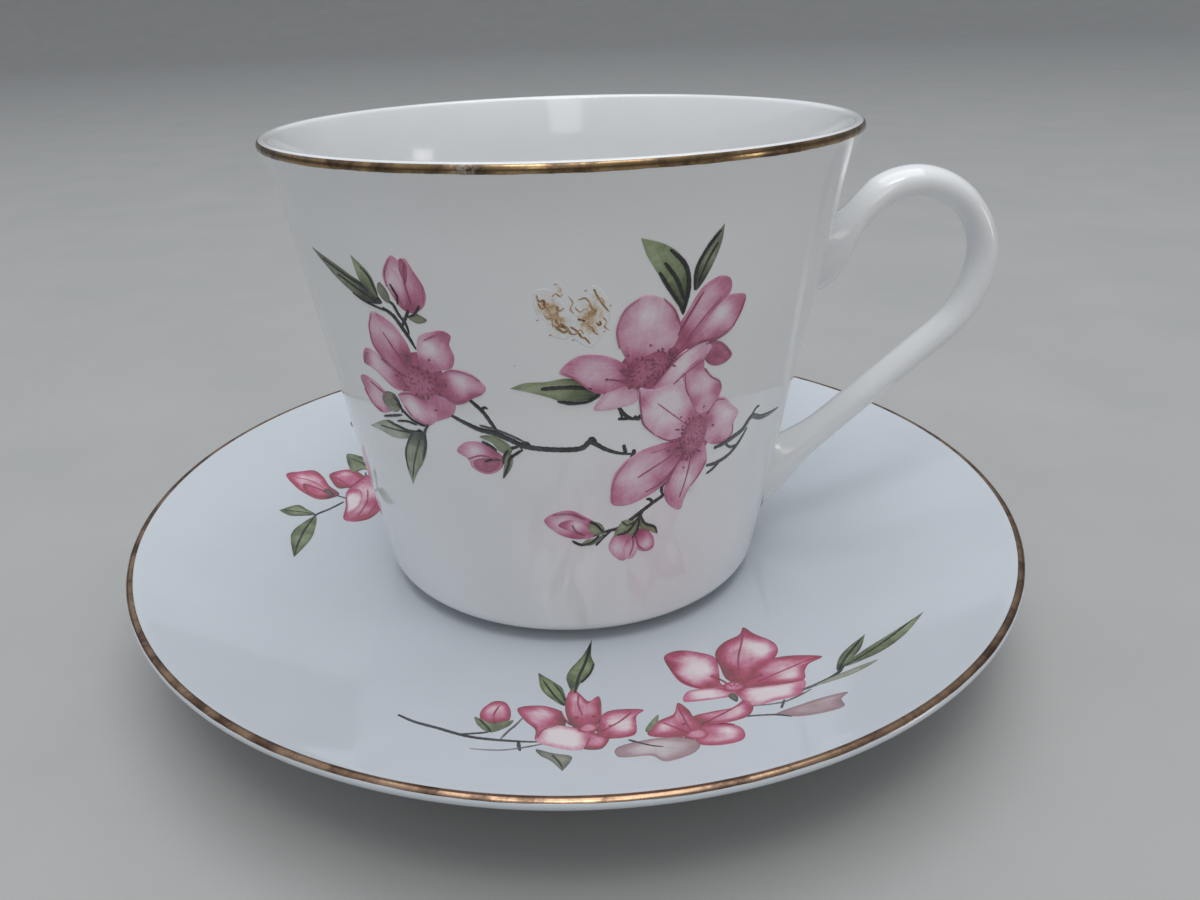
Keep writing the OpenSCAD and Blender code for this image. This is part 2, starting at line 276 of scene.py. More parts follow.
def saucer_units(p):
    """A listed place on the saucer, in x and y, as a drawn point."""
    return (p[0], p[1])


LAYER_LIFT = 0.012       # each layer of print stands this much further out
BASE_LIFT = 0.03
SUNK = 0.03              # the print's underside lies in the glaze
THIN_EDGE = 0.6          # share of a shape's lift that is left at its edge
BLADE_STEP, STROKE_STEP = 0.4, 0.3
BLADE_RINGS = (0.0, 0.14, 0.28, 0.42, 0.56, 0.68, 0.79, 0.88, 0.95, 1.0)
# Top of a stroke's section: (share of the half width, share of the lift)
STROKE_TOP = ((-0.92, 0.7), (-0.45, 1.0), (0.45, 1.0), (0.92, 0.7))
SWELL_SHARE, THIN_SHARE = 0.25, 0.35     # of a stroke's length, where it swells and thins
PRINT_VALUES = ("tone", "along", "across", "edge", "hue")


class Print:
    """Painted shapes of one colour family, collected into one closed thin mesh. units turns a
    listed place into a drawn point in millimetres, and place puts that on the china."""

    def __init__(self, place, units):
        self.place, self.units = place, units
        self.verts, self.faces, self.walls = [], [], set()
        self.values = {key: [] for key in PRINT_VALUES}

    def add_vertex(self, p, lift, *values):
        self.verts.append(self.place(p, lift))
        for key, value in zip(PRINT_VALUES, values):
            self.values[key].append(value)

    def add_face(self, face, keep):
        self.faces.append(face if keep else face[::-1])

    def blade(self, outline, tone, washes, layer, hue=0.0, base=None):
        """A filled shape. washes are (x, y, radius, change in tone). base is the place that
        'along' starts from, if that isn't the outline's first point."""
        points = smooth_points([self.units(p) for p in outline], True, BLADE_STEP)
        heart = sum(points, Vector((0, 0))) / len(points)
        start = Vector(self.units(base or outline[0]))
        far = max(points, key=lambda p: (p - start).length)
        axis = (far - start).normalized()
        side = Vector((-axis.y, axis.x))
        length = (far - start).length
        half = max(abs((p - heart).dot(side)) for p in points)
        blots = [(Vector(self.units((x, y))), radius, change) for x, y, radius, change in washes]
        lift = BASE_LIFT + LAYER_LIFT * layer
        edge_lift = lift * THIN_EDGE if layer >= 0 else lift
        first = len(self.verts)

        def emit(p, height, edge):
            value = tone + sum(c * math.exp(-((p - q).length / r) ** 2) for q, r, c in blots)
            along = (p - start).dot(axis) / length
            across = (p - heart).dot(side) / half
            self.add_vertex(p, height, min(max(value, 0.0), 1.0), along, across, edge, hue)

        for height, edge_height in ((lift, edge_lift), (-SUNK, -SUNK)):
            for k in BLADE_RINGS:
                for p in (points if k else [heart]):
                    emit(heart + (p - heart) * k, edge_height if k == 1 else height, k)
        self.blade_faces(first, len(points), signed_area(points) > 0)

    def blade_faces(self, first, count, turn):
        """Top, underside and side wall of a filled shape with count points around it."""
        layer_size = 1 + (len(BLADE_RINGS) - 1) * count
        for centre, keep in ((first, turn), (first + layer_size, not turn)):
            for s in range(count):
                n = (s + 1) % count
                self.add_face((centre, centre + 1 + s, centre + 1 + n), keep)
                for j in range(len(BLADE_RINGS) - 2):
                    a = centre + 1 + j * count
                    b = a + count
                    self.add_face((a + s, b + s, b + n, a + n), keep)
        a = first + 1 + (len(BLADE_RINGS) - 2) * count
        b = a + layer_size
        for s in range(count):
            n = (s + 1) % count
            self.walls.add(len(self.faces))
            self.add_face((a + s, b + s, b + n, a + n), turn)

    def stroke(self, points, width, tone, layer, taper=(0.6, 0.35), wobble=0.12):
        """A painted line. taper is its width at the start and end, as shares of width."""
        line = smooth_points([self.units(p) for p in points], False, STROKE_STEP)
        count = len(line)
        lift = BASE_LIFT + LAYER_LIFT * layer
        top = [(across, lift * share) for across, share in STROKE_TOP]
        section = [(-1.0, -SUNK), *top, (1.0, -SUNK)]
        first = len(self.verts)
        phase = random.uniform(0, 6.28)
        for i, p in enumerate(line):
            run = line[min(i + 1, count - 1)] - line[max(i - 1, 0)]
            side = Vector((run.y, -run.x)).normalized()
            t = i / (count - 1)
            end = min(t / SWELL_SHARE if t < 0.5 else (1 - t) / THIN_SHARE, 1.0)
            share = taper[0 if t < 0.5 else 1]
            half = width / 2 * (share + (1 - share) * math.sin(end * math.pi / 2))
            half *= 1 + wobble * math.sin(phase + 2.1 * i) * math.sin(0.7 * i)
            for across, height in section:
                self.add_vertex(p + side * across * half, height, tone, t, across, abs(across), 0.0)
        self.stroke_faces(first, count, len(section))

    def stroke_faces(self, first, count, size):
        """Skin and both ends of a painted line with count sections of size points."""
        for i in range(count - 1):
            a = first + i * size
            b = a + size
            for j in range(size):
                n = (j + 1) % size
                self.add_face((a + j, a + n, b + n, b + j), True)
        last = first + (count - 1) * size
        self.add_face(tuple(first + j for j in range(size)), False)
        self.add_face(tuple(last + j for j in range(size)), True)

    def make(self, name, material, body, node, slot="blossom_enamel"):
        obj = new_object(name, self.verts, self.faces, self.values, self.walls)
        finish_piece(obj, material, body, node)


def signed_area(points):
    """Area inside the points, above 0 if they run anticlockwise."""
    return sum(p.x * q.y - q.x * p.y for p, q in zip(points, points[1:] + points[:1])) / 2


# ---------------------------------------------------------------- materials

class Shader:
    """A principled material and short calls for the nodes that feed it."""

    def __init__(self, name, **values):
        self.material = bpy.data.materials.new(name)
        self.material.use_nodes = True
        self.tree = self.material.node_tree
        self.bsdf = self.tree.nodes["Principled BSDF"]
        self.set(**values)

    def set(self, **values):
        """Sets or links the shader's own inputs. Returns the material."""
        for key, value in values.items():
            self.feed(value, self.bsdf.inputs[key.replace("_", " ").title().replace("Ior", "IOR")])
        return self.material

    def node(self, kind, inputs=None, **settings):
        made = self.tree.nodes.new(kind)
        for key, value in settings.items():
            setattr(made, key, value)
        for key, value in (inputs or {}).items():
            self.feed(value, made.inputs[key])
        return made

    def feed(self, value, socket):
        if isinstance(value, bpy.types.NodeSocket):
            self.tree.links.new(value, socket)
        else:
            socket.default_value = value

    def attribute(self, name):
        return self.node("ShaderNodeAttribute", attribute_name=name).outputs["Fac"]

    def place(self):
        """Object coordinates in millimetres."""
        coords = self.node("ShaderNodeTexCoord").outputs["Object"]
        scaled = self.node("ShaderNodeVectorMath", {0: coords, 3: 1 / MM}, operation="SCALE")
        return scaled.outputs[0]

    def noise(self, vector, scale, detail, rough, warp=0.0):
        made = self.node("ShaderNodeTexNoise", {
            "Vector": vector, "Scale": scale, "Detail": detail, "Roughness": rough,
            "Distortion": warp})
        return made.outputs["Fac"]

    def math(self, operation, a, b, clamp=False):
        return self.node("ShaderNodeMath", {0: a, 1: b}, operation=operation, use_clamp=clamp).outputs[0]

    def span(self, value, low, high, to_low=0.0, to_high=1.0):
        """The value carried smoothly from low..high to to_low..to_high."""
        made = self.node("ShaderNodeMapRange", {
            "Value": value, "From Min": low, "From Max": high, "To Min": to_low, "To Max": to_high},
            interpolation_type="SMOOTHSTEP")
        return made.outputs[0]

    def ramp(self, value, stops):
        """A colour from (position, colour) stops."""
        made = self.node("ShaderNodeValToRGB", {"Fac": value})
        elements = made.color_ramp.elements
        while len(elements) < len(stops):
            elements.new(0.5)
        for element, (position, colour) in zip(elements, stops):
            element.position = position
            element.color = (*colour, 1.0)
        return made.outputs["Color"]

    def mix(self, share, a, b):
        made = self.node("ShaderNodeMix", {"Factor": share}, data_type="RGBA")
        for value, socket in ((a, made.inputs[6]), (b, made.inputs[7])):
            self.feed((*value, 1.0) if isinstance(value, tuple) else value, socket)
        return made.outputs[2]

    def bump(self, height, distance, strength, normal=None):
        """A bump whose distance is in millimetres, on top of another normal if one is given."""
        made = self.node("ShaderNodeBump", {
            "Height": height, "Distance": distance * MM, "Strength": strength})
        if normal is not None:
            self.feed(normal, made.inputs["Normal"])
        return made.outputs["Normal"]


CUP_GLAZE = (0.83, 0.835, 0.84)
# The saucer's glaze is the cup's porcelain painted darker and bluer: painted shade and cool skylight,
# not a colour of its own
SAUCER_GLAZE_PAINTED_SHADE = (0.59, 0.627, 0.668)
GLAZE_GAINS = ((0.0, 0.975), (0.5, 1.0), (1.0, 1.02))     # slow drift of the glaze's tone
SPECK_COLOUR = (0.46, 0.36, 0.27)


def glaze_colour(s, place, seed, tint):
    """Cool white glaze in the given tint, with slow drifts of tone and a few iron specks. On the saucer
    the tint is darker and bluer, as painted shade and cool skylight.
    """
    shifted = s.node("ShaderNodeVectorMath", {0: place, 1: (seed, seed, 0)}, operation="ADD")
    drift = s.span(s.noise(shifted.outputs[0], 0.035, 4, 0.55), 0.3, 0.7)
    colour = s.ramp(drift, [(share, tuple(c * gain for c in tint)) for share, gain in GLAZE_GAINS])
    cells = s.node("ShaderNodeTexVoronoi", {"Vector": place, "Scale": 0.16, "Randomness": 1.0})
    lot = s.node("ShaderNodeSeparateColor", {"Color": cells.outputs["Color"]}).outputs[0]
    size = s.span(lot, 0.93, 1.0, 0.0, 0.035)
    speck = s.math("GREATER_THAN", size, cells.outputs["Distance"])
    speck_soft = s.math("MULTIPLY", speck, 0.45)
    return s.mix(speck_soft, colour, SPECK_COLOUR)


def porcelain(name, seed, tint):
    """Glossy glaze with faint waves in it, and rough biscuit where 'bare' is 1."""
    s = Shader(name, ior=1.5, coat_weight=0.5, coat_roughness=0.03, coat_ior=1.45)
    place = s.place()
    bare = s.attribute("bare")
    grain = s.noise(place, 3.0, 5, 0.7)
    glazed = glaze_colour(s, place, seed, tint)
    biscuit = s.ramp(grain, [(0.3, (0.58, 0.56, 0.53)), (0.7, (0.72, 0.70, 0.66))])
    rough = s.span(s.noise(place, 0.12, 4, 0.6), 0.25, 0.75, 0.07, 0.15)
    rough_all = s.math("ADD", rough, s.math("MULTIPLY", bare, 0.5))
    swell = s.noise(place, 0.045, 2, 0.4)
    dimples = s.noise(place, 0.4, 3, 0.5)
    grit = s.math("MULTIPLY", bare, grain)
    height = s.math("ADD", swell, s.math("MULTIPLY", dimples, 0.02))
    waves = s.bump(height, 0.10, 0.5)
    return s.set(base_color=s.mix(bare, glazed, biscuit), roughness=rough_all,
                 normal=s.bump(grit, 0.12, 1.0, waves))


def enamel(name, stops, veins=0.03, mottling=0.08, pale=-0.03, rim=0.14, grey=None):
    """Transfer print under a thin glaze. tone picks the colour; veins fan out along each painted
    shape. pale and rim are the changes in tone inside a shape and at its edge. Where hue is
    above 0 the grey stops take over."""
    s = Shader(name, ior=1.5, coat_weight=0.4, coat_roughness=0.05)
    place = s.place()
    tone, along, across, edge, hue = [s.attribute(key) for key in PRINT_VALUES]
    lanes = s.node("ShaderNodeCombineXYZ", {
        "X": s.math("MULTIPLY", across, 6.5), "Y": s.math("MULTIPLY", along, 1.1), "Z": tone})
    streaks = s.span(s.noise(lanes.outputs[0], 1.3, 4, 0.6, 0.5), 0.3, 0.7, -veins, veins)
    blotches = s.span(s.noise(place, 0.42, 4, 0.55, 0.5), 0.28, 0.72, -mottling, mottling)
    stipple = s.span(s.noise(place, 3.6, 3, 0.7), 0.35, 0.65, -0.03, 0.03)
    outline = s.span(edge, 0.45, 1.0, pale, rim)
    value = s.math("ADD", tone, streaks)
    for part in (blotches, stipple, outline):
        value = s.math("ADD", value, part)
    value = s.math("ADD", value, 0.0, clamp=True)
    colour = s.ramp(value, stops)
    if grey is not None:
        colour = s.mix(hue, colour, s.ramp(value, grey))
    rough = s.span(blotches, -mottling, mottling, 0.14, 0.26)
    coarse = s.noise(place, 1.1, 3, 0.6)
    fine = s.math("MULTIPLY", s.noise(place, 5.0, 2, 0.6), 0.25)
    relief = s.math("ADD", coarse, fine)
    return s.set(base_color=colour, roughness=rough, normal=s.bump(relief, 0.05, 0.5))


BALD_GOLD = (0.62, 0.55, 0.47)      # what shows where gold has gone


def gold_lustre(name, bright, dark):
    """Burnished gold worn thin in places, where bronze-brown shows. Its colours are also darkened, in
    patches near black-brown, as painted dark reflection of surroundings.
    """
    s = Shader(name, ior=1.45, coat_weight=0.1, coat_roughness=0.1)
    place = s.place()
    wear = s.attribute("wear")
    cloud = s.noise(place, 0.22, 5, 0.6, 0.4)
    fine = s.noise(place, 2.4, 4, 0.7)
    mask = s.span(s.math("ADD", cloud, s.math("MULTIPLY", fine, 0.2)), 0.45, 0.75)
    # Dark noise patches: painted dark reflection, besides the bronze of worn lustre
    colour = s.mix(mask, bright, dark)
    bald = s.span(s.math("ADD", wear, s.math("MULTIPLY", fine, 0.4)), 0.75, 0.95)
    metal = s.math("SUBTRACT", 1.0, bald)
    rough = s.math("ADD", s.span(mask, 0.0, 1.0, 0.16, 0.34), s.math("MULTIPLY", fine, 0.06))
    return s.set(base_color=s.mix(bald, colour, BALD_GOLD), metallic=metal, roughness=rough,
                 normal=s.bump(s.math("ADD", fine, cloud), 0.03, 0.4))


def worn_gilding(name):
    """What is left of painted gold: amber and brown scribbles over a pale tan stain."""
    s = Shader(name, ior=1.5, coat_weight=0.3, coat_roughness=0.08)
    place = s.place()
    tone, edge = s.attribute("tone"), s.attribute("edge")
    cloud = s.span(s.noise(place, 1.3, 4, 0.65, 0.5), 0.3, 0.7, -0.22, 0.18)
    grain = s.span(s.noise(place, 6.0, 3, 0.7), 0.3, 0.7, -0.08, 0.08)
    faded = s.span(edge, 0.2, 0.9, 0.0, 0.5)
    value = s.math("SUBTRACT", s.math("ADD", s.math("ADD", tone, cloud), grain), faded, clamp=True)
    colour = s.ramp(value, [
        (0.0, CUP_GLAZE),
        (0.2, (0.78, 0.75, 0.70)),
        (0.36, (0.68, 0.55, 0.39)),
        (0.6, (0.50, 0.30, 0.14)),
        (0.8, (0.27, 0.155, 0.075)),
        (1.0, (0.06, 0.05, 0.045)),
    ])
    return s.set(base_color=colour, metallic=s.span(value, 0.4, 0.8, 0.0, 0.4),
                 roughness=s.span(value, 0.1, 0.7, 0.11, 0.30),
                 normal=s.bump(s.noise(place, 4.0, 3, 0.6), 0.04, 0.5))


PETAL_STOPS = [
    (0.0, (0.84, 0.745, 0.79)),
    (0.17, (0.78, 0.55, 0.65)),
    (0.34, (0.70, 0.38, 0.51)),
    (0.52, (0.58, 0.20, 0.33)),
    (0.74, (0.42, 0.10, 0.185)),
    (1.0, (0.20, 0.055, 0.10)),
]
SAUCER_PETAL_STOPS = [
    (0.0, (0.80, 0.71, 0.72)),
    (0.20, (0.72, 0.48, 0.54)),
    (0.40, (0.58, 0.215, 0.315)),
    (0.60, (0.47, 0.08, 0.165)),
    (0.8, (0.34, 0.055, 0.085)),
    (1.0, (0.18, 0.06, 0.075)),
]
MAUVE_STOPS = [
    (0.0, (0.64, 0.60, 0.62)),
    (0.5, (0.40, 0.27, 0.29)),
    (1.0, (0.25, 0.15, 0.17)),
]
LEAF_STOPS = [
    (0.0, (0.48, 0.52, 0.39)),
    (0.25, (0.29, 0.35, 0.19)),
    (0.5, (0.155, 0.20, 0.09)),
    (0.75, (0.045, 0.06, 0.03)),
    (0.92, (0.010, 0.011, 0.009)),
    (1.0, (0.007, 0.007, 0.006)),
]
GREY_LEAF_STOPS = [
    (0.0, (0.42, 0.41, 0.38)),
    (0.4, (0.21, 0.195, 0.175)),
    (0.75, (0.07, 0.065, 0.055)),
    (1.0, (0.009, 0.009, 0.009)),
]
TWIG_STOPS = [
    (0.0, (0.34, 0.33, 0.34)),
    (0.4, (0.12, 0.12, 0.125)),
    (0.7, (0.034, 0.036, 0.036)),
    (0.9, (0.013, 0.014, 0.014)),
    (1.0, (0.009, 0.009, 0.009)),
]

cup_glaze = porcelain("cup glaze", 3.0, CUP_GLAZE)
# The saucer's darker, bluer tint is painted shade and cool skylight on the same porcelain as the cup
saucer_glaze_painted_shade = porcelain("saucer glaze painted shade", 11.0, SAUCER_GLAZE_PAINTED_SHADE)
cup_petal_enamel = enamel("cup petal enamel", PETAL_STOPS, grey=MAUVE_STOPS)
saucer_petal_enamel = enamel(
    "saucer petal enamel", SAUCER_PETAL_STOPS, pale=-0.14, rim=0.32, grey=MAUVE_STOPS)
leaf_enamel = enamel("leaf enamel", LEAF_STOPS, veins=0.05, mottling=0.12, grey=GREY_LEAF_STOPS)
twig_enamel = enamel("twig enamel", TWIG_STOPS, veins=0.05, mottling=0.18, pale=0.0, rim=0.0)
# Both golds are kept dark, their dark colour near black-brown: painted dark reflection over the lustre's
# own bronze
cup_gold = gold_lustre("cup gold", (0.40, 0.26, 0.13), (0.10, 0.065, 0.04))
saucer_gold = gold_lustre("saucer gold", (0.40, 0.255, 0.16), (0.11, 0.065, 0.045))
fleck_gold = worn_gilding("worn gold")


# ---------------------------------------------------------------- cup and saucer

def foot_section(r, w, top_out, top_in, round_r):
    """Section of a foot ring, from inside it round its bottom to outside."""
    inner = arc((r - w + round_r, round_r), round_r, math.pi, 1.5 * math.pi, 4)
    outer = arc((r - round_r, round_r), round_r, 1.5 * math.pi, 2 * math.pi, 4)
    return [(r - w, top_in)] + inner + outer + [(r, top_out)]


def cup_section():
    """From the axis under the cup, round the foot, heel and rim, to the axis inside it."""
    down = math.radians(-90)
    tilt, lean = WALL_TILT, RIM_TILT
    section = [(0, CUP_RECESS_H)]
    section += straight(section[-1], (CUP_FOOT_R - CUP_FOOT_W - CORNER_GUARD, CUP_RECESS_H), 3)
    section += foot_section(
        CUP_FOOT_R, CUP_FOOT_W, HEEL_H - FOOT_CHAMFER_H, CUP_RECESS_H, CUP_FOOT_ROUND_R)
    section += [(CUP_FOOT_R + FOOT_CHAMFER_W, HEEL_H)]
    section += straight(section[-1], (HEEL_C[0], HEEL_H), 1.5)
    section += arc(HEEL_C, HEEL_R, down, -tilt, 12)[1:]
    section += straight(section[-1], WALL_TOP, 2.5)
    section += arc(LIP_C, LIP_CURVE_R, math.pi - tilt, math.pi - lean, 10)[1:]
    section += arc(RIM_C, CUP_WALL / 2, -lean, math.pi - lean, 14)[1:]
    section += arc(LIP_C, LIP_CURVE_R + CUP_WALL, math.pi - lean, math.pi - tilt, 10)[1:]
    corner = arc(CORNER_C, FLOOR_CORNER_R, -tilt, down, 14)
    section += straight(section[-1], corner[0], 2.5)
    section += corner[1:]
    section += straight(section[-1], (0, CUP_FLOOR_H), 4)
    return section


def saucer_section():
    """From the axis under the saucer, round the foot and rim, to the axis in the well."""
    down = math.radians(-90)
    under_r = DISH_CURVE_R + SAUCER_WALL
    foot_lean = math.asin((SAUCER_FOOT_R - WELL_R) / under_r)
    foot_top = DISH_C[1] - under_r * math.cos(foot_lean)
    recess_r = SAUCER_FOOT_R - SAUCER_FOOT_W - CORNER_GUARD
    section = [(0, SAUCER_RECESS_H)]
    section += straight(section[-1], (recess_r, SAUCER_RECESS_H), 3)
    section += foot_section(
        SAUCER_FOOT_R, SAUCER_FOOT_W, foot_top - FOOT_CHAMFER_H, SAUCER_RECESS_H, SAUCER_FOOT_ROUND_R)
    section += arc(DISH_C, under_r, down + foot_lean, down + DISH_LEAN, 22)[1:]
    section += arc(SAUCER_RIM_C, SAUCER_WALL / 2, down + DISH_LEAN, DISH_LEAN - down, 16)[1:]
    section += arc(DISH_C, DISH_CURVE_R, down + DISH_LEAN, down, 30)[1:]
    section += straight(section[-1], (0, WELL_H), 3)
    return section


finish_piece(lathe("cup_bowl_porcelain", cup_section(), SEAT_Z, 256),
             cup_glaze, "cup", "cup_bowl")
finish_piece(lathe("saucer_dish_porcelain", saucer_section(), 0.0, 320),
             saucer_glaze_painted_shade, "saucer", "saucer_dish")

# Matched points of the handle's outer and inner edges and its width across, all in the plane
# of the handle: outer x, outer height, inner x, inner height, width
HANDLE = [
    (36, 51, 34, 42, 8.4), (39.5, 53.8, 38.4, 43, 8), (42.5, 56.2, 41.6, 44.8, 7.6),
    (44.6, 58.4, 43.3, 48.2, 7.2), (46.7, 60.4, 44.4, 51.2, 6.9), (50, 61.7, 48.2, 55.6, 6.6),
    (54, 61.9, 53, 57.2, 6.4), (58.2, 60.6, 56.6, 56.4, 6.2), (62, 57.8, 59.7, 54.3, 6.2),
    (65.2, 53.1, 61.6, 51.1, 6.2), (66.4, 47.6, 62.2, 47.6, 6.2), (65.4, 41.6, 61.2, 43, 6.2),
    (62.6, 36.6, 59, 39, 6.2), (56.6, 30.8, 53.6, 33.8, 6), (50.3, 25, 47.3, 28, 6),
    (44, 19, 40.9, 22.2, 6.2), (39.4, 14.4, 37.3, 19.8, 6.8), (35.5, 9.2, 34.6, 18.6, 8),
    (32.5, 6, 31.5, 17.6, 9),
]
HANDLE_SIDES = 48
HANDLE_STEPS = 9
HANDLE_SUNK = 0.9       # how deep the handle's ends lie in the cup's wall
ROOT_SPREAD = 3.2       # the handle's roots flare over this distance from the wall
ROOT_FLARE = 0.1


def handle_stations():
    """The rows of HANDLE with smoothly spaced rows between them."""
    last = len(HANDLE) - 1
    stations = []
    for i in range(last):
        columns = list(zip(*[HANDLE[min(max(i + k, 0), last)] for k in (-1, 0, 1, 2)]))
        for s in range(HANDLE_STEPS):
            stations.append([catmull(*column, s / HANDLE_STEPS) for column in columns])
    return stations + [HANDLE[-1]]


def handle_point(middle, offset):
    """A point of the handle's skin, flared near the wall and kept just inside its surface."""
    p = middle + offset
    out = math.hypot(p.x, p.y) - wall_r(p.z)
    near = max(0.0, 1 - max(out, 0.0) / ROOT_SPREAD)
    p = middle + offset * (1 + ROOT_FLARE * near ** 2)
    sunk = wall_r(p.z) - HANDLE_SUNK
    r = math.hypot(p.x, p.y)
    if r < sunk:
        p.x *= sunk / r
        p.y *= sunk / r
    return (p.x, p.y, SEAT_Z + p.z)


def handle_mesh():
    """The handle as one closed tube through its stations, with a flat face at each end."""
    stations = handle_stations()
    verts = []
    for ox, oz, ix, iz, width in stations:
        middle = Vector(((ox + ix) / 2, 0, (oz + iz) / 2))
        half = Vector(((ox - ix) / 2, 0, (oz - iz) / 2))
        for k in range(HANDLE_SIDES):
            a = 2 * math.pi * k / HANDLE_SIDES
            offset = half * math.cos(a) + Vector((0, width / 2 * math.sin(a), 0))
            verts.append(handle_point(middle, offset))
    rings = len(stations)
    faces = [tuple(range(HANDLE_SIDES))]
    faces.append(tuple((rings - 1) * HANDLE_SIDES + k for k in reversed(range(HANDLE_SIDES))))
    for r in range(rings - 1):
        a = r * HANDLE_SIDES
        b = a + HANDLE_SIDES
        for k in range(HANDLE_SIDES):
            n = (k + 1) % HANDLE_SIDES
            faces.append((a + k, b + k, b + n, a + n))
    return new_object("cup_handle_porcelain", verts, faces, {"bare": [0.0] * len(verts)})


finish_piece(handle_mesh(), cup_glaze, "cup", "cup_handle")


# ---------------------------------------------------------------- gold bands

GILD_LIFT = 0.02
GILD_SUNK = 0.08
CUP_GOLD_TOP = math.radians(50)            # around the rims, up from level on the outside
SAUCER_GOLD_BOTTOM = math.radians(35)


def ripple(a, *waves):
    """Sum of sine waves around the rim: each wave is (how many per turn, size, phase)."""
    return sum(size * math.sin(n * a + phase) for n, size, phase in waves)


def cup_band_wear(a):
    """Where the cup's gold starts and how worn it is, at an angle around the rim."""
    edge = 0.04 + ripple(a, (9, 0.02, 0.3), (23, 0.02, 1.1), (61, 0.015, 2.0), (143, 0.01, 0.5))
    value = 0.40 + ripple(a, (3, 0.1, 0.9), (11, 0.08, 2.2), (37, 0.05, 0.1))
    return max(edge, 0.0), value


def saucer_band_wear(a):
    edge = 0.05 + ripple(a, (7, 0.02, 1.3), (19, 0.02, 0.1), (47, 0.015, 2.4), (131, 0.01, 0.8))
    value = 0.38 + ripple(a, (2, 0.1, 0.4), (9, 0.08, 1.2), (31, 0.05, 2.1))
    return max(edge, 0.0), value


def band_lines(centre, rim_r, start, end, steps):
    """Outer and inner section line of a gold band on a rim, proud of the glaze and sunk in it."""
    return [arc(centre, rim_r + lift, start, end, steps) for lift in (GILD_LIFT, -GILD_SUNK)]


cup_lines = band_lines(RIM_C, CUP_WALL / 2, -RIM_TILT, CUP_GOLD_TOP, 12)
finish_piece(ring_band("cup_rim_gold", *cup_lines, SEAT_Z, cup_band_wear),
             cup_gold, "cup", "cup_rim_gilding")
saucer_lines = band_lines(
    SAUCER_RIM_C, SAUCER_WALL / 2, SAUCER_GOLD_BOTTOM, math.radians(90) + DISH_LEAN, 16)
finish_piece(ring_band("saucer_rim_gold", *saucer_lines, 0.0, saucer_band_wear),
             saucer_gold, "saucer", "saucer_rim_gilding")


# ---------------------------------------------------------------- sprays on the cup

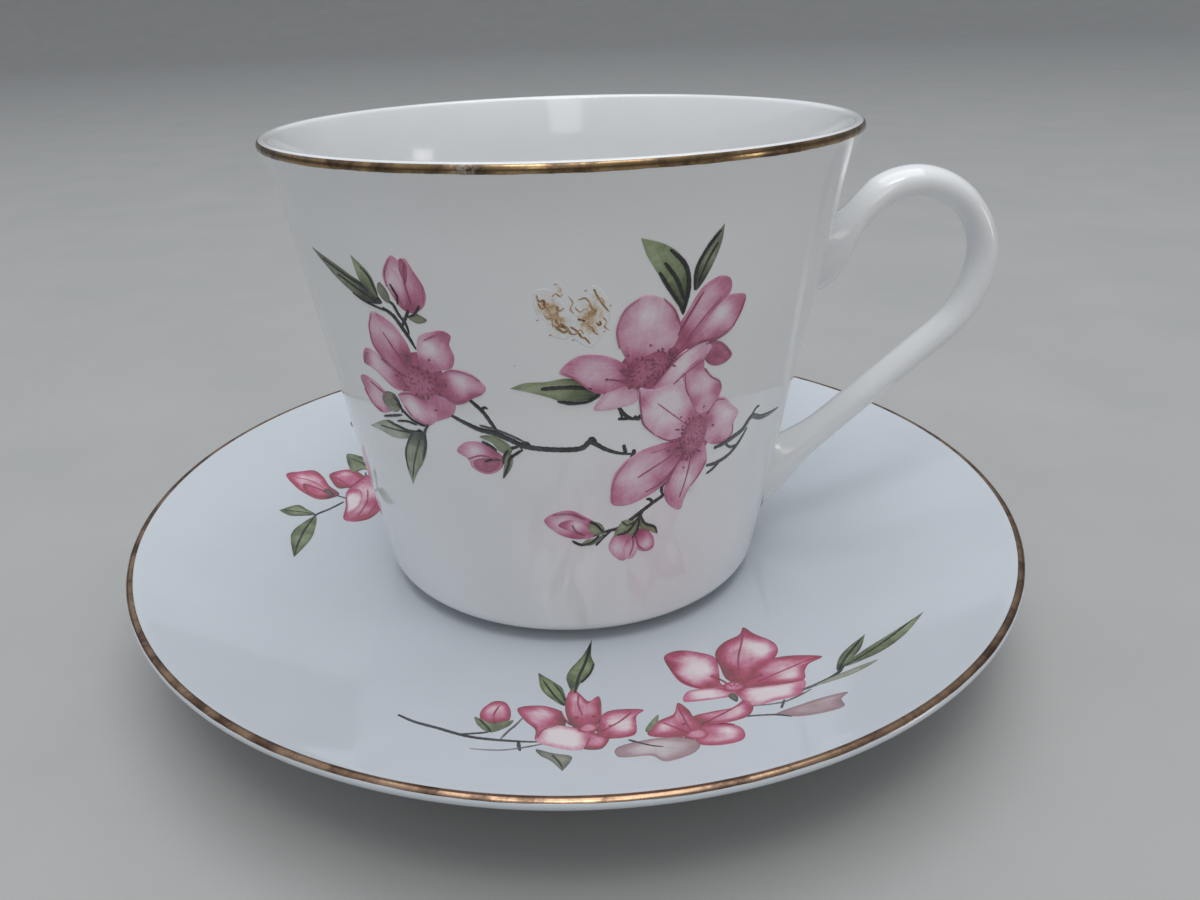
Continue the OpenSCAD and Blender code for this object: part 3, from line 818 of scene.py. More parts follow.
# A blossom is its heart and its painted shapes: (tone, layer, washes, outline). Tones run from
# 0, palest, to 1, darkest. Places are degrees right of the front and height above the cup's foot.
CUP_BLOSSOMS = [
    # Left blossom
    ((-30, 42), [
        (0.66, 0, [(-29.6, 42.2, 2.6, 0.2)],
         [(-35.2, 43), (-33, 45.6), (-29, 46.6), (-25.5, 45.4), (-23.6, 43.2), (-24.4, 40.8),
          (-27, 39.4), (-31, 39), (-34.6, 40)]),
        (0.20, 3, [(-33.2, 44.6, 2.0, 0.5), (-38.6, 46, 1.5, 0.25), (-31.8, 46, 1.6, 0.3),
                   (-36, 50.6, 1.2, 0.15), (-37, 47.5, 1.8, 0.05)],
         [(-34.3, 43.1), (-38.4, 44.7), (-40.3, 46.2), (-40.6, 47.8), (-40.1, 49.4), (-38.9, 51),
          (-37.1, 51.1), (-34, 50.2), (-32.1, 48.8), (-30.8, 47), (-30.8, 44.7), (-32, 43.4)]),
        (0.26, 2, [(-22.4, 49.2, 1.5, 0.35), (-27.4, 45.3, 1.6, 0.35), (-26.6, 47.2, 1.4, -0.2),
                   (-22, 46, 1.3, 0.15)],
         [(-29, 44.6), (-29.2, 46.2), (-28.6, 48), (-27.7, 49), (-25.2, 49.7), (-22.6, 50),
          (-21.1, 49.4), (-21.7, 48.2), (-21.1, 46.6), (-22, 45.1), (-24.6, 44.5), (-27.4, 44)]),
        (0.28, 3, [(-24.3, 42.3, 1.7, 0.45), (-20.8, 43.4, 1.3, -0.15), (-18.4, 41.2, 1.2, 0.35),
                   (-22, 40.6, 1.2, 0.3)],
         [(-25.5, 42.3), (-24.2, 44.1), (-22.4, 44.8), (-19.2, 44.7), (-17, 43.8), (-15.6, 42.8),
          (-16.4, 41.8), (-18.6, 41), (-20.5, 40.2), (-22.7, 39.9), (-24.8, 40.9)]),
        (0.30, 4, [(-34.6, 42.2, 1.9, 0.45), (-44.2, 43.8, 1.2, 0.35), (-40, 44, 1.6, -0.1)],
         [(-33.6, 42), (-34.9, 43), (-38.4, 44.4), (-41.2, 45.5), (-43.4, 45.5), (-45, 44.4),
          (-45.4, 43.1), (-43.4, 42.8), (-41.5, 42.3), (-39.6, 41.4), (-37.1, 40.5), (-34.6, 40.7)]),
        (0.20, 3, [(-30.5, 40.4, 1.8, 0.5), (-26, 38.6, 1.8, 0.35), (-32.9, 38.6, 1.6, -0.12),
                   (-29.8, 36.6, 1.1, 0.15)],
         [(-30, 41), (-34, 40.6), (-36.6, 39.8), (-35.9, 38.3), (-34.6, 36.9), (-32.1, 36.3),
          (-30.2, 35.9), (-27.7, 36.9), (-23.9, 38.1), (-22.6, 39.8), (-24.6, 40.6), (-27, 41)]),
        (0.30, 2, [(-47.4, 39.6, 1.3, 0.3), (-43, 38.6, 1.7, -0.08), (-40, 37.4, 1.3, 0.35),
                   (-45, 36.6, 1.2, 0.2)],
         [(-38.8, 38.4), (-40.9, 39.8), (-43.4, 40.7), (-46.6, 41.1), (-48.9, 40.4), (-48.1, 38.4),
          (-46.6, 36.7), (-44.4, 35.9), (-41.5, 36.3), (-39.4, 37.2)]),
        (0.56, 5, [(-29.6, 42.4, 2, 0.16)],
         [(-34.2, 42.6), (-32.6, 43.9), (-30.2, 44.4), (-27.4, 43.8), (-25.8, 42.4), (-27, 40.9),
          (-29.6, 40.2), (-32.8, 40.8)]),
    ]),
    # Upper bud of the left spray
    ((-28.8, 52.2), [
        (0.34, 1, [(-28.6, 53, 1.5, 0.4), (-31.6, 56.4, 1.5, -0.12), (-26.2, 55.4, 1.2, 0.15)],
         [(-28.6, 51.9), (-30.8, 52.5), (-32.7, 54.8), (-33.3, 56.1), (-32.4, 57.6), (-30.4, 59),
          (-29, 58.5), (-27.5, 58.8), (-26.2, 57.2), (-24.8, 55.4), (-24.9, 53.7), (-26.4, 52.4)]),
        (0.70, 2, [],
         [(-28.5, 55.6), (-29.2, 57.2), (-28.8, 58.6), (-28.1, 58.7), (-27.4, 58), (-27.7, 56.6)]),
        (0.20, 3, [(-30.6, 53.2, 1.4, 0.35)],
         [(-29.6, 52.6), (-31.9, 53.9), (-32.9, 55.9), (-32, 57.2), (-30.6, 57.6), (-29.4, 56.2),
          (-29, 54.4)]),
    ]),
    # Small hanging bud
    ((-14.4, 32.4), [
        (0.36, 1, [(-15.6, 33, 1.4, 0.35), (-19.6, 32.8, 1.4, -0.14)],
         [(-13.8, 32.6), (-16.2, 34), (-18.9, 34.7), (-22, 34.3), (-24.2, 32.8), (-21.8, 31.8),
          (-21.2, 30.6), (-18.9, 29.8), (-16.4, 30), (-14.3, 31.1)]),
        (0.60, 2, [(-17.6, 31.2, 1.3, 0.15)],
         [(-14.6, 31.9), (-17.6, 32.3), (-20.6, 31.7), (-20.4, 30.6), (-18.4, 30), (-16, 30.4)]),
    ]),
    # Upper right blossom
    ((13.2, 43.6), [
        (0.62, 0, [(13.4, 44, 2.4, 0.2), (18, 46, 2, 0.14)],
         [(7.6, 43), (10, 46), (13, 48), (17, 48.6), (21, 47.6), (22, 45), (19, 42.6), (14, 41.4),
          (10, 41.6)]),
        (0.22, 3, [(13.4, 45.6, 2.4, 0.48), (10.2, 50.6, 1.5, 0.12), (18.8, 50.8, 1.7, 0.12),
                   (14.6, 52.6, 1.9, -0.1)],
         [(13.6, 44), (12.2, 44.8), (10.2, 46.9), (8.9, 49.3), (9, 51.2), (10.8, 53), (13.4, 54.3),
          (16.4, 53.8), (18.9, 52.5), (20.6, 50.3), (20.5, 48), (18, 46), (15.6, 44.7)]),
        (0.26, 4, [(11.4, 44.2, 2.2, 0.45), (1.6, 45.6, 1.6, 0.1), (6.4, 44.4, 1.8, -0.05),
                   (5.5, 42.4, 1.2, 0.25)],
         [(13.2, 43.4), (11, 45.3), (8, 46.7), (4, 47.3), (1, 46.8), (-1.5, 45), (1, 44.1), (3.4, 42.7),
          (6, 41.8), (9.5, 42.3)]),
        (0.34, 2, [(21.6, 48.4, 1.8, 0.4), (25.6, 52.4, 1.7, -0.05), (29.6, 54, 1.4, 0.12),
                   (27.6, 51.8, 1.2, 0.2)],
         [(20.6, 46.6), (19.4, 48.8), (21.5, 51.2), (23.2, 53.3), (24.8, 54.6), (27.6, 55.4),
          (30.1, 54.8), (30.5, 53.1), (28, 51.5), (25.6, 49.6), (23.4, 47.6)]),
        (0.34, 3, [(22.6, 47.2, 1.8, 0.4), (29.2, 50.8, 1.4, -0.2), (28.6, 47.8, 1.2, 0.25),
                   (33.4, 51.2, 1.2, 0.25)],
         [(20.6, 46.3), (21.4, 47.2), (24, 48.7), (26.4, 50.5), (29.6, 52.5), (32, 52.7), (34.5, 52.1),
          (33.6, 50), (32.4, 48.1), (29.6, 47.1), (25.6, 46.9), (22.6, 46.4)]),
        (0.12, 6, [(16.4, 42.6, 1.4, 0.3), (25.8, 45.4, 1.3, 0.2), (22, 44.8, 1.6, -0.05)],
         [(16, 41.7), (18, 43.4), (20.8, 45.8), (24, 47.1), (26.8, 47.3), (28.2, 46.2), (26.8, 44.8),
          (22.8, 43.4), (20, 41.9)]),
        (0.62, 5, [(29.4, 44.8, 1.2, 0.2)],
         [(26.4, 47.1), (29.2, 46.9), (31.6, 45.9), (33.5, 44.4), (32, 43.5), (29.6, 43.4),
          (27.4, 44.2), (26.4, 45.8)]),
        (0.14, 3, [(11, 42, 1.2, 0.25)],
         [(12.6, 42.6), (10, 42.6), (7, 41.9), (4.8, 39.8), (7, 39.5), (10, 39.7), (13.2, 40.4)]),
        (0.66, 7, [],
         [(10.6, 43), (12, 45), (14.6, 46.6), (17.6, 46.8), (19.4, 45.8), (18, 44), (15.2, 42.8),
          (12.4, 42.2)]),
    ]),
    # Lower right blossom
    ((26.2, 33.4), [
        (0.60, 0, [(26, 32.8, 2.4, 0.2)],
         [(21, 33.6), (22.4, 36.8), (25.6, 38.8), (29.6, 38), (31.4, 35), (30.6, 31.6), (27.4, 29.4),
          (23.6, 30)]),
        (0.12, 7, [(14.4, 40.2, 1.2, 0.3), (25.2, 36.4, 1.7, 0.45), (19.4, 39.6, 2.0, -0.08),
                   (20, 35, 1.4, 0.2)],
         [(26.4, 35), (26.6, 36.9), (24.8, 39.3), (23.2, 41.9), (20, 42.3), (16, 41.8), (13.4, 42.1),
          (13.9, 39.2), (14.7, 37), (17.2, 35.1), (21.2, 33.6), (24.6, 34)]),
        (0.26, 8, [(25.6, 39.2, 1.4, 0.3), (26, 43.8, 1.2, 0.2), (30.8, 40, 1.2, 0.3),
                   (27.6, 41, 1.4, -0.1)],
         [(24.4, 39.4), (23.2, 40.8), (22.5, 43.3), (24.3, 44.7), (26.5, 45), (27, 43.4), (28.8, 42.1),
          (31.3, 41.1), (32.2, 39.7), (31.2, 38), (29.6, 36.9), (27.4, 36.9), (25.6, 38)]),
        (0.20, 4, [(30, 35.4, 1.6, 0.45), (34.6, 35.6, 1.7, -0.08), (33.6, 32.4, 1.2, 0.25)],
         [(28.8, 34.6), (29.4, 36.6), (31.2, 38.5), (33.6, 38.3), (36, 36.8), (38.6, 35.3),
          (37.7, 33.7), (37.8, 31.9), (35.2, 31.2), (32, 31.5), (29.4, 33)]),
        (0.28, 5, [(22.8, 31.8, 2.2, 0.42), (12.8, 29, 2.2, -0.1), (10.4, 26.4, 1.5, 0.15),
                   (19.6, 27.8, 1.5, 0.3)],
         [(26, 32.6), (24.6, 33), (21.2, 33.5), (17.6, 33.4), (14, 32.7), (11.2, 31.4), (9.1, 29.5),
          (8.6, 27), (9, 25), (12.4, 24.6), (16, 25.3), (20, 26.6), (22.8, 28.4), (25, 30.6)]),
        (0.30, 4, [(26.8, 31.2, 1.7, 0.45), (26.2, 27, 1.6, -0.14), (22.6, 24.4, 1.3, 0.15),
                   (29.4, 28.4, 1.2, 0.15)],
         [(26.6, 32.4), (25, 31.2), (23, 29.6), (21.1, 26.8), (21.4, 24.6), (23.2, 23), (25.9, 22.1),
          (26.6, 23.8), (27.8, 25.4), (30.1, 27.2), (31.4, 29.1), (30.2, 31.7), (28.2, 32.8)]),
        (0.68, 9, [],
         [(23.4, 33.2), (24.4, 35.6), (27, 36.6), (29.4, 35.6), (29.8, 33.2), (28.2, 31.2),
          (25.4, 31)]),
    ]),
    # Two lowest buds
    ((6, 21), [
        (0.36, 1, [(4.6, 21.4, 1.3, 0.35), (-2.6, 22.4, 1.5, -0.14), (0, 20.4, 1.2, 0.2)],
         [(6.6, 21), (5.6, 22.1), (3, 23.3), (0, 24.4), (-3.5, 24.1), (-6.2, 22.7), (-3, 20.5),
          (1, 19.6), (5, 19.8)]),
        (0.58, 2, [(1, 22, 1.1, -0.3)],
         [(5.6, 20.9), (2.8, 22.4), (-0.8, 22.9), (-3.2, 22), (-0.6, 21), (2.6, 20.2)]),
    ]),
    ((13.4, 20.2), [
        (0.34, 1, [(12.6, 19.2, 1.1, 0.3), (10.4, 17.2, 1.2, -0.12)],
         [(14.2, 20), (12, 20.1), (10, 20), (8.5, 18.2), (9, 16.9), (10.5, 15.7), (12.3, 15.1),
          (14.2, 16.4), (14.4, 18.6)]),
        (0.52, 2, [(17.8, 17.4, 1.1, -0.2), (15.6, 19.4, 1.0, 0.25)],
         [(14.4, 19.8), (15.2, 17.1), (17.5, 16.1), (19.7, 16.5), (19.5, 18.3), (17.2, 20.2)]),
        (0.24, 3, [(13, 18.6, 1.0, 0.3)],
         [(13.6, 19.2), (12, 17.4), (12.6, 15.6), (14.6, 15.4), (15.6, 16.8), (15, 18.6)]),
    ]),
]

# Painted lines on the petals: (width, tone, points)
CUP_PETAL_LINES = [
    (0.34, 0.86, [(-39, 44.6), (-37, 43.9), (-34.9, 43)]),
    (0.24, 0.62, [(-38.6, 50.8), (-40.2, 49), (-40.4, 46.4), (-38.6, 44.8)]),
    (0.26, 0.72, [(-22.4, 49.9), (-24.6, 49.2), (-27, 48.4)]),
    (0.26, 0.75, [(-24.4, 40.8), (-22.4, 40.1), (-19.6, 40.8), (-16.6, 41.9)]),
    (0.26, 0.66, [(-24.2, 44.1), (-22.2, 44.7), (-19, 44.5), (-16.6, 43.6)]),
    (0.30, 0.82, [(-45.2, 43.2), (-44.2, 44.4), (-42.8, 44.9)]),
    (0.28, 0.78, [(-36.6, 39.7), (-33.4, 40.3), (-29.3, 39.8)]),
    (0.22, 0.62, [(-35.6, 38.2), (-33.6, 36.7), (-30.2, 36)]),
    (0.24, 0.66, [(-48.4, 38.8), (-46.4, 36.8), (-43.6, 36.1)]),
    (0.28, 0.84, [(-39.2, 38.6), (-42, 39.6), (-45, 40.4)]),
    (0.22, 0.70, [(-36.6, 48.6), (-34.6, 46.4), (-32.4, 44)]),
    (0.30, 0.78, [(-27.8, 58.4), (-28.4, 57), (-28.6, 55.4), (-28.2, 53.2)]),
    (0.24, 0.62, [(-32.8, 55), (-32.6, 56.8), (-31, 58.5)]),
    (0.22, 0.60, [(-25.6, 53.4), (-25.2, 55.4), (-26.4, 57.2)]),
    (0.26, 0.76, [(-21.8, 31.8), (-18.6, 32.6), (-15, 32.2)]),
    (0.24, 0.86, [(11.8, 42.6), (11, 43.9), (9.6, 44.9)]),
    (0.22, 0.88, [(13, 43.2), (10.2, 43.4), (7.4, 43.8)]),
    (0.24, 0.66, [(-1, 45), (1.6, 44), (4, 42.6), (7, 42)]),
    (0.24, 0.62, [(9.4, 47.8), (8.9, 50.2), (10.2, 52.6), (12.8, 54)]),
    (0.26, 0.74, [(20.6, 50), (19.2, 52), (17, 53.6)]),
    (0.30, 0.84, [(20.4, 48.6), (22.4, 51.2), (24.6, 53.8)]),
    (0.24, 0.70, [(22.6, 48), (25.4, 50.4), (28.6, 52.6)]),
    (0.34, 0.88, [(22.6, 46.7), (25.8, 47.2), (29.4, 47.3), (32.2, 48.3)]),
    (0.26, 0.78, [(32.4, 48.4), (33.8, 50.2), (34.4, 51.8)]),
    (0.28, 0.82, [(26.6, 46.8), (29.4, 46.7), (31.8, 45.6), (33.2, 44.4)]),
    (0.26, 0.72, [(16.2, 41.9), (18.6, 43.9), (21.4, 45.9), (24.4, 46.9)]),
    (0.26, 0.80, [(20.4, 42), (23.4, 43.5), (26.8, 44.8), (28, 46)]),
    (0.26, 0.80, [(13.6, 41.8), (14.2, 38.8), (15, 36.8), (17.6, 35)]),
    (0.26, 0.82, [(17.8, 34.9), (21, 33.8), (24, 34)]),
    (0.22, 0.66, [(17.6, 39.6), (20.4, 38), (24, 36)]),
    (0.28, 0.84, [(32, 39.9), (31.2, 41), (28.9, 42), (27.2, 43.4)]),
    (0.24, 0.74, [(22.8, 43.2), (23.4, 41), (25, 39.2)]),
    (0.26, 0.76, [(29.6, 36.6), (31.2, 38.2), (33.6, 38)]),
    (0.22, 0.66, [(37.5, 33.6), (37.6, 32), (35.2, 31.4), (32.2, 31.7)]),
    (0.28, 0.80, [(14.4, 28.8), (17.4, 29.9), (20.4, 30.9), (23.6, 32)]),
    (0.32, 0.86, [(16.4, 26.3), (20.6, 27.6), (23.4, 29.8), (24.6, 31.2)]),
    (0.22, 0.60, [(9.2, 25.2), (8.9, 27.4), (9.8, 29.6), (12, 31.6)]),
    (0.22, 0.66, [(16.8, 32.4), (20.2, 32.6), (23.6, 32.8)]),
    (0.24, 0.74, [(25.2, 24.2), (26.2, 27), (26.8, 30.4)]),
    (0.26, 0.78, [(21.4, 26.8), (23, 29.2), (25, 31)]),
    (0.24, 0.70, [(27.8, 25.6), (30, 27.4), (31.2, 29.2)]),
    (0.28, 0.86, [(-4.2, 23.8), (0, 23.8), (3, 22.8)]),
    (0.26, 0.84, [(0, 22), (1, 20.9), (3, 20.1)]),
    (0.26, 0.80, [(14.3, 19.4), (14.4, 17.4), (13.6, 15.8)]),
    (0.24, 0.84, [(14.8, 19.4), (15.8, 17.4), (17.6, 16.4)]),
]

# Dots at the ends of the stamens
CUP_ANTHERS = [
    (10, 44.8), (11, 46.8), (15.2, 47.8), (17.6, 47), (20.6, 46.4), (7.2, 43.8), (23, 37), (28.2, 37.8),
    (21, 32.2), (31.4, 34.5), (25.2, 29), (-31.8, 45.8), (-26.6, 45.8), (-24, 42.6), (-35.8, 42.6),
    (-27.4, 38.6),
]

# Hearts with a scatter of stamens: (place, reach in millimetres)
CUP_STAMENS = [
    ((-29.6, 42.2), 2.9), ((13.8, 44.2), 2.6), ((17.6, 45.4), 2.0), ((26, 34.6), 2.5),
    ((26.2, 31.8), 2.0),
]

# Leaves: (tone, greyness, washes, outline). Each outline starts at the leaf's base.
CUP_LEAVES = [
    (0.40, 0.25, [(-50, 56.6, 2.4, 0.1), (-37.4, 53.6, 3.0, 0.34)],
     [(-35.2, 52.5), (-35.9, 53.6), (-39, 54.8), (-42.5, 55.7), (-46.6, 56.7), (-53.8, 57.9),
      (-53.8, 57.9), (-47.5, 55), (-42.5, 53.2), (-39.6, 52.4)]),
    (0.20, 0.0, [(-37, 54.2, 1.8, 0.4)],
     [(-35.9, 53.1), (-35.9, 55.3), (-37.1, 56.7), (-40.3, 58.3), (-40.3, 58.3), (-40.1, 56.7),
      (-39.4, 55)]),
    (0.35, 0.7, [], [(-33, 52.8), (-33, 54.2), (-34.4, 55.4), (-35.4, 54.4), (-34.6, 53.2)]),
    (0.40, 0.4, [], [(-29.4, 51.2), (-27.7, 51.9), (-25.4, 51.2), (-27.4, 50.6)]),
    (0.34, 0.5, [(-38.6, 38.4, 1.2, 0.25)],
     [(-36.8, 38.4), (-38, 39.7), (-41, 39.5), (-42.4, 38), (-40.4, 36.8), (-38, 37)]),
    (0.18, 0.35, [(-36, 34.2, 1.6, 0.25), (-47, 33.4, 2.0, -0.06)],
     [(-33.8, 34.6), (-38.4, 34.4), (-42.5, 35), (-50.9, 32.5), (-50.9, 32.5), (-46.6, 32.6),
      (-41.8, 32.4), (-37.1, 33)]),
    (0.28, 0.25, [(-38.4, 27.4, 1.8, -0.1), (-33.4, 34, 2.4, 0.4)],
     [(-32.6, 35), (-35.9, 33.7), (-38.6, 31.5), (-39.6, 29.9), (-39.9, 27.5), (-39.4, 25.2),
      (-39.4, 25.2), (-37, 27.4), (-34.4, 29.4), (-32.5, 31.5), (-31.6, 33.6)]),
    (0.30, 0.2, [],
     [(-14.2, 33.4), (-15.8, 34.7), (-18.4, 35.5), (-15.4, 35.8), (-12.2, 34.6), (-12, 33.4)]),
    (0.36, 0.35, [],
     [(-12.6, 33.8), (-11.8, 32.4), (-12.6, 30.8), (-14.4, 29.4), (-13.8, 31.6), (-13.8, 33)]),
    (0.16, 0.0, [(21, 52.2, 4.2, 0.55), (20.8, 57.4, 2.2, 0.2)],
     [(21, 51.2), (19.5, 52.9), (17.1, 55), (15.5, 56.8), (13.4, 59.1), (12.3, 61.1), (12.3, 61.1),
      (16, 60.3), (18.9, 59), (21, 57.1), (21.8, 55.2), (21.6, 53)]),
    (0.36, 0.55, [(23, 55.6, 2.6, 0.3), (25, 58.4, 1.5, -0.1)],
     [(22.8, 54.1), (22.3, 56.5), (23.9, 59), (27, 61.7), (27, 61.7), (27, 59.9), (26.2, 57.8),
      (24.5, 55.3)]),
    (0.20, 0.1, [(4.6, 42, 4.2, 0.4), (-8, 43, 2.4, -0.06)],
     [(6.2, 41.8), (4, 43.4), (0, 44.2), (-4, 43.8), (-8, 43.6), (-10.8, 42.8), (-10.8, 42.8),
      (-7, 42.3), (-3, 41.5), (0, 40.5), (4, 40.8)]),
    (0.30, 0.25, [], [(7.4, 20.4), (6.8, 21.8), (4.6, 22.4), (3.6, 21.4), (5, 20.2)]),
    (0.34, 0.4, [], [(7.4, 20.2), (5.8, 19.6), (3.4, 19.4), (2.2, 18.6), (4.4, 18.4), (6.6, 19.2)]),
    (0.28, 0.1, [(13, 20.8, 1.2, 0.1)],
     [(14.2, 21.9), (12, 22.1), (10.2, 20.8), (9.8, 19.4), (12, 20.2), (14, 19.2), (15.4, 20.2),
      (15.6, 22.4)]),
    (0.32, 0.2, [], [(15.4, 22.2), (17.2, 21.2), (19.4, 20.4), (20.4, 18.9), (18, 19.7), (16, 20.4)]),
]

# Dark strokes on leaves: (width, tone, points)
CUP_LEAF_LINES = [
    (0.42, 0.97, [(-50, 56.8), (-46, 56), (-42.2, 55.1), (-38.8, 54.3), (-35.9, 53.1)]),
    (0.36, 0.95, [(-46, 55.2), (-44, 54.8), (-40, 53.7), (-36.5, 52.7)]),
    (0.30, 0.92, [(-42.5, 53.2), (-40.4, 52.6), (-38.4, 52.2), (-34, 51.6)]),
    (0.34, 0.95, [(-38.4, 57), (-36.9, 56), (-36.2, 54.8), (-35.7, 53.6)]),
    (0.36, 0.92, [(-31.9, 55.4), (-31.4, 54.6), (-30.9, 53.9), (-31.2, 52.8)]),
    (0.32, 0.88, [(-26.4, 53), (-28, 51.7), (-30, 51.2)]),
    (0.40, 0.95, [(-43.4, 35.4), (-40.3, 36), (-37.1, 36.6)]),
    (0.44, 0.96, [(-37.8, 38.2), (-35.9, 37), (-34, 36.2), (-31.5, 35.8), (-30.2, 36.2)]),
    (0.34, 0.94, [(-39, 35.4), (-35.9, 35.8), (-33.4, 35.6)]),
    (0.32, 0.94, [(-38.4, 39.2), (-37, 38.2), (-36.8, 37)]),
    (0.40, 0.92, [(-42.5, 34.8), (-39, 34.5), (-35.9, 34.3), (-32.7, 34.7)]),
    (0.26, 0.80, [(-45.6, 33.6), (-40.6, 33.8), (-35.4, 34.1)]),
    (0.34, 0.90, [(-32.9, 35), (-35.9, 33.6), (-38.3, 31.4), (-39.3, 29.8), (-39.6, 27.6)]),
    (0.40, 0.95, [(-30.2, 36), (-31.6, 34.8), (-32.2, 32.8), (-34, 30)]),
    (0.26, 0.82, [(-38.8, 26.4), (-36.8, 29.4), (-33.6, 33.4)]),
    (0.40, 0.95, [(-18, 34.8), (-16.4, 34.3), (-15, 33.6)]),
    (0.34, 0.92, [(-18, 31.7), (-16.2, 32.2), (-14.4, 32.2)]),
    (0.42, 0.96, [(-9.5, 34), (-12.3, 32.6), (-12.9, 31.5), (-14.3, 29.4)]),
    (0.38, 0.95, [(-12.6, 33.8), (-13.6, 32.8), (-14, 31.6)]),
    (0.56, 1.0, [(17.4, 59.5), (20.4, 57.4), (21.5, 54.7), (21, 51.4)]),
    (0.50, 1.0, [(16.6, 58), (19.2, 55.6), (20.8, 53.1)]),
    (0.46, 0.98, [(15.8, 56.9), (18.4, 54.2), (20.8, 51.9)]),
    (0.44, 0.94, [(26.4, 61), (24.4, 59.2), (22.7, 56.8), (22.7, 54.2)]),
    (0.26, 0.84, [(26.2, 59.6), (24.6, 57.6), (23.3, 55)]),
    (0.62, 1.0, [(-5, 42.8), (-2, 43), (1, 43), (4.4, 42.6)]),
    (0.54, 1.0, [(-2, 41.1), (1, 40.8), (4, 41), (5.8, 41.9)]),
    (0.44, 0.96, [(0, 19.3), (2, 18.6), (4.5, 18.9), (6.2, 20)]),
    (0.42, 0.96, [(4, 22.4), (5.6, 21.8), (7.2, 20.4)]),
    (0.40, 0.97, [(10.4, 19.8), (13, 20.2), (15.4, 22.4)]),
    (0.40, 0.97, [(15.5, 22.8), (15.3, 20.4), (14, 18.9)]),
    (0.40, 0.97, [(15.6, 22.8), (17, 21), (19.5, 20.1), (20.3, 18.9)]),
    (0.30, 0.92, [(11.4, 22), (12.8, 21.2), (14.8, 21.8)]),
]

# Twigs: (width, tone, points)
CUP_TWIGS = [
    (0.62, 0.80, [(-35.2, 52), (-33, 51.2), (-31.5, 49.8), (-30.2, 48.4), (-29.2, 47)]),
    (0.50, 0.84, [(-33.7, 53.1), (-32.4, 52.7), (-31.5, 51.4), (-30.4, 50.4), (-30, 49)]),
    (0.46, 0.84, [(-29, 52.3), (-30, 51.2), (-31, 50.2), (-31.4, 49.6)]),
    (0.80, 0.76, [(-24.4, 38.3), (-21.4, 37.4), (-18.3, 36.6), (-15.1, 36.2), (-12, 35.4), (-9, 34.5),
                  (-4, 34.1), (2, 34.1), (4, 35), (5.4, 34.6), (7.2, 33.8), (10, 33), (13, 32.6)]),
    (0.66, 0.82, [(3.6, 34.6), (4.4, 35.5), (5.4, 35)]),
    (0.62, 0.84, [(-10, 34.2), (-9, 35), (-7.8, 34.6)]),
    (0.54, 0.84, [(11, 34.2), (11.3, 33.4), (11.6, 32.7)]),
    (0.60, 0.84, [(13.2, 33.3), (13.2, 32.6), (12.6, 32)]),
    (0.60, 0.82, [(-19.5, 40.9), (-17, 39.3), (-15.4, 37.6), (-14.2, 36.2)]),
    (0.44, 0.84, [(-17.4, 39.4), (-16.4, 39.9), (-15.8, 39.7)]),
    (0.40, 0.50, [(-18, 37.2), (-15, 36.8), (-11.6, 36), (-8.6, 35)]),
    (0.52, 0.88, [(-13.6, 33.4), (-12.2, 34), (-10.4, 34.4)]),
    (0.54, 0.86, [(9.4, 40), (10.8, 38.7), (12.4, 37.9), (13.8, 37.9)]),
    (0.62, 0.90, [(12.8, 38.2), (13.7, 37.8), (14.2, 38.4)]),
    (0.44, 0.88, [(9.6, 38.1), (11, 38), (12.4, 38)]),
    (0.50, 0.86, [(8.8, 40.6), (10, 39.4), (10.4, 38.2)]),
    (0.84, 0.62, [(33, 30.7), (36, 30.9), (38.8, 31.4), (41.6, 32), (44, 33.4), (48, 32.5), (52, 32.1),
                  (57.5, 31.8)]),
    (0.66, 0.66, [(31.6, 28.2), (34.4, 28.1), (38, 28.6), (40.8, 29.9), (43.2, 31.9)]),
    (0.50, 0.70, [(32, 26.8), (33.8, 27.3), (35.6, 28.1)]),
    (0.46, 0.72, [(43.4, 33), (45, 34.4), (46.4, 34.6)]),
    (0.46, 0.66, [(36.6, 30.6), (38.4, 29.8), (40.6, 29.8)]),
    (0.62, 0.84, [(23, 26.4), (21, 25.2), (18.6, 24.3), (15.3, 22.9), (11, 21), (8, 20.6), (5, 20)]),
    (0.46, 0.84, [(5.5, 18.3), (7, 19.5), (9, 20.6)]),
    (0.50, 0.84, [(20.6, 25.4), (20.4, 26.6), (21.6, 27.6)]),
    (0.46, 0.86, [(16.4, 23.4), (15.8, 22.6), (15.4, 21.4)]),
    (0.50, 0.88, [(18.6, 24.3), (17.6, 25), (16.8, 25)]),
]

# The back of the cup isn't in view: a small spray of the same kind is a guess.
# Petals are (direction, length, width, tone); the bud and leaves (place, direction, length, width).
BACK_HEART = (180, 40)
BACK_PETALS = [
    (100, 9, 6.8, 0.20), (170, 9.2, 6, 0.26), (-110, 8.2, 6.2, 0.22), (-45, 7.4, 5.4, 0.34),
    (30, 9.4, 6.2, 0.26),
]
BACK_BUD = ((167, 48), 110, 6.6, 4.4)
BACK_LEAVES = [((193, 46), 55, 9, 3), ((189, 33), -40, 9.5, 3), ((166, 33), 215, 8, 2.8)]
BACK_TWIGS = [
    [(181, 41), (184, 42.6), (188, 44), (193, 46)],
    [(178, 41), (174, 43.6), (170, 46), (167, 48.5)],
    [(180, 39), (182, 36.6), (184, 34.6), (189, 33)],
    [(180, 39), (176, 36.4), (172, 34.5), (166, 33)],
]
# Short lines on each petal of the back blossom: (degrees off its middle, share of its length)
BACK_PETAL_LINES = ((-9, 0.42), (0, 0.62), (9, 0.42))

PALE_GAIN = 1.9          # how much the pale washes of a petal are lightened
STAMEN_TURN = 2.4        # radians from one stamen to the next
LEAF_LAYER, TWIG_LAYER = 3, 2


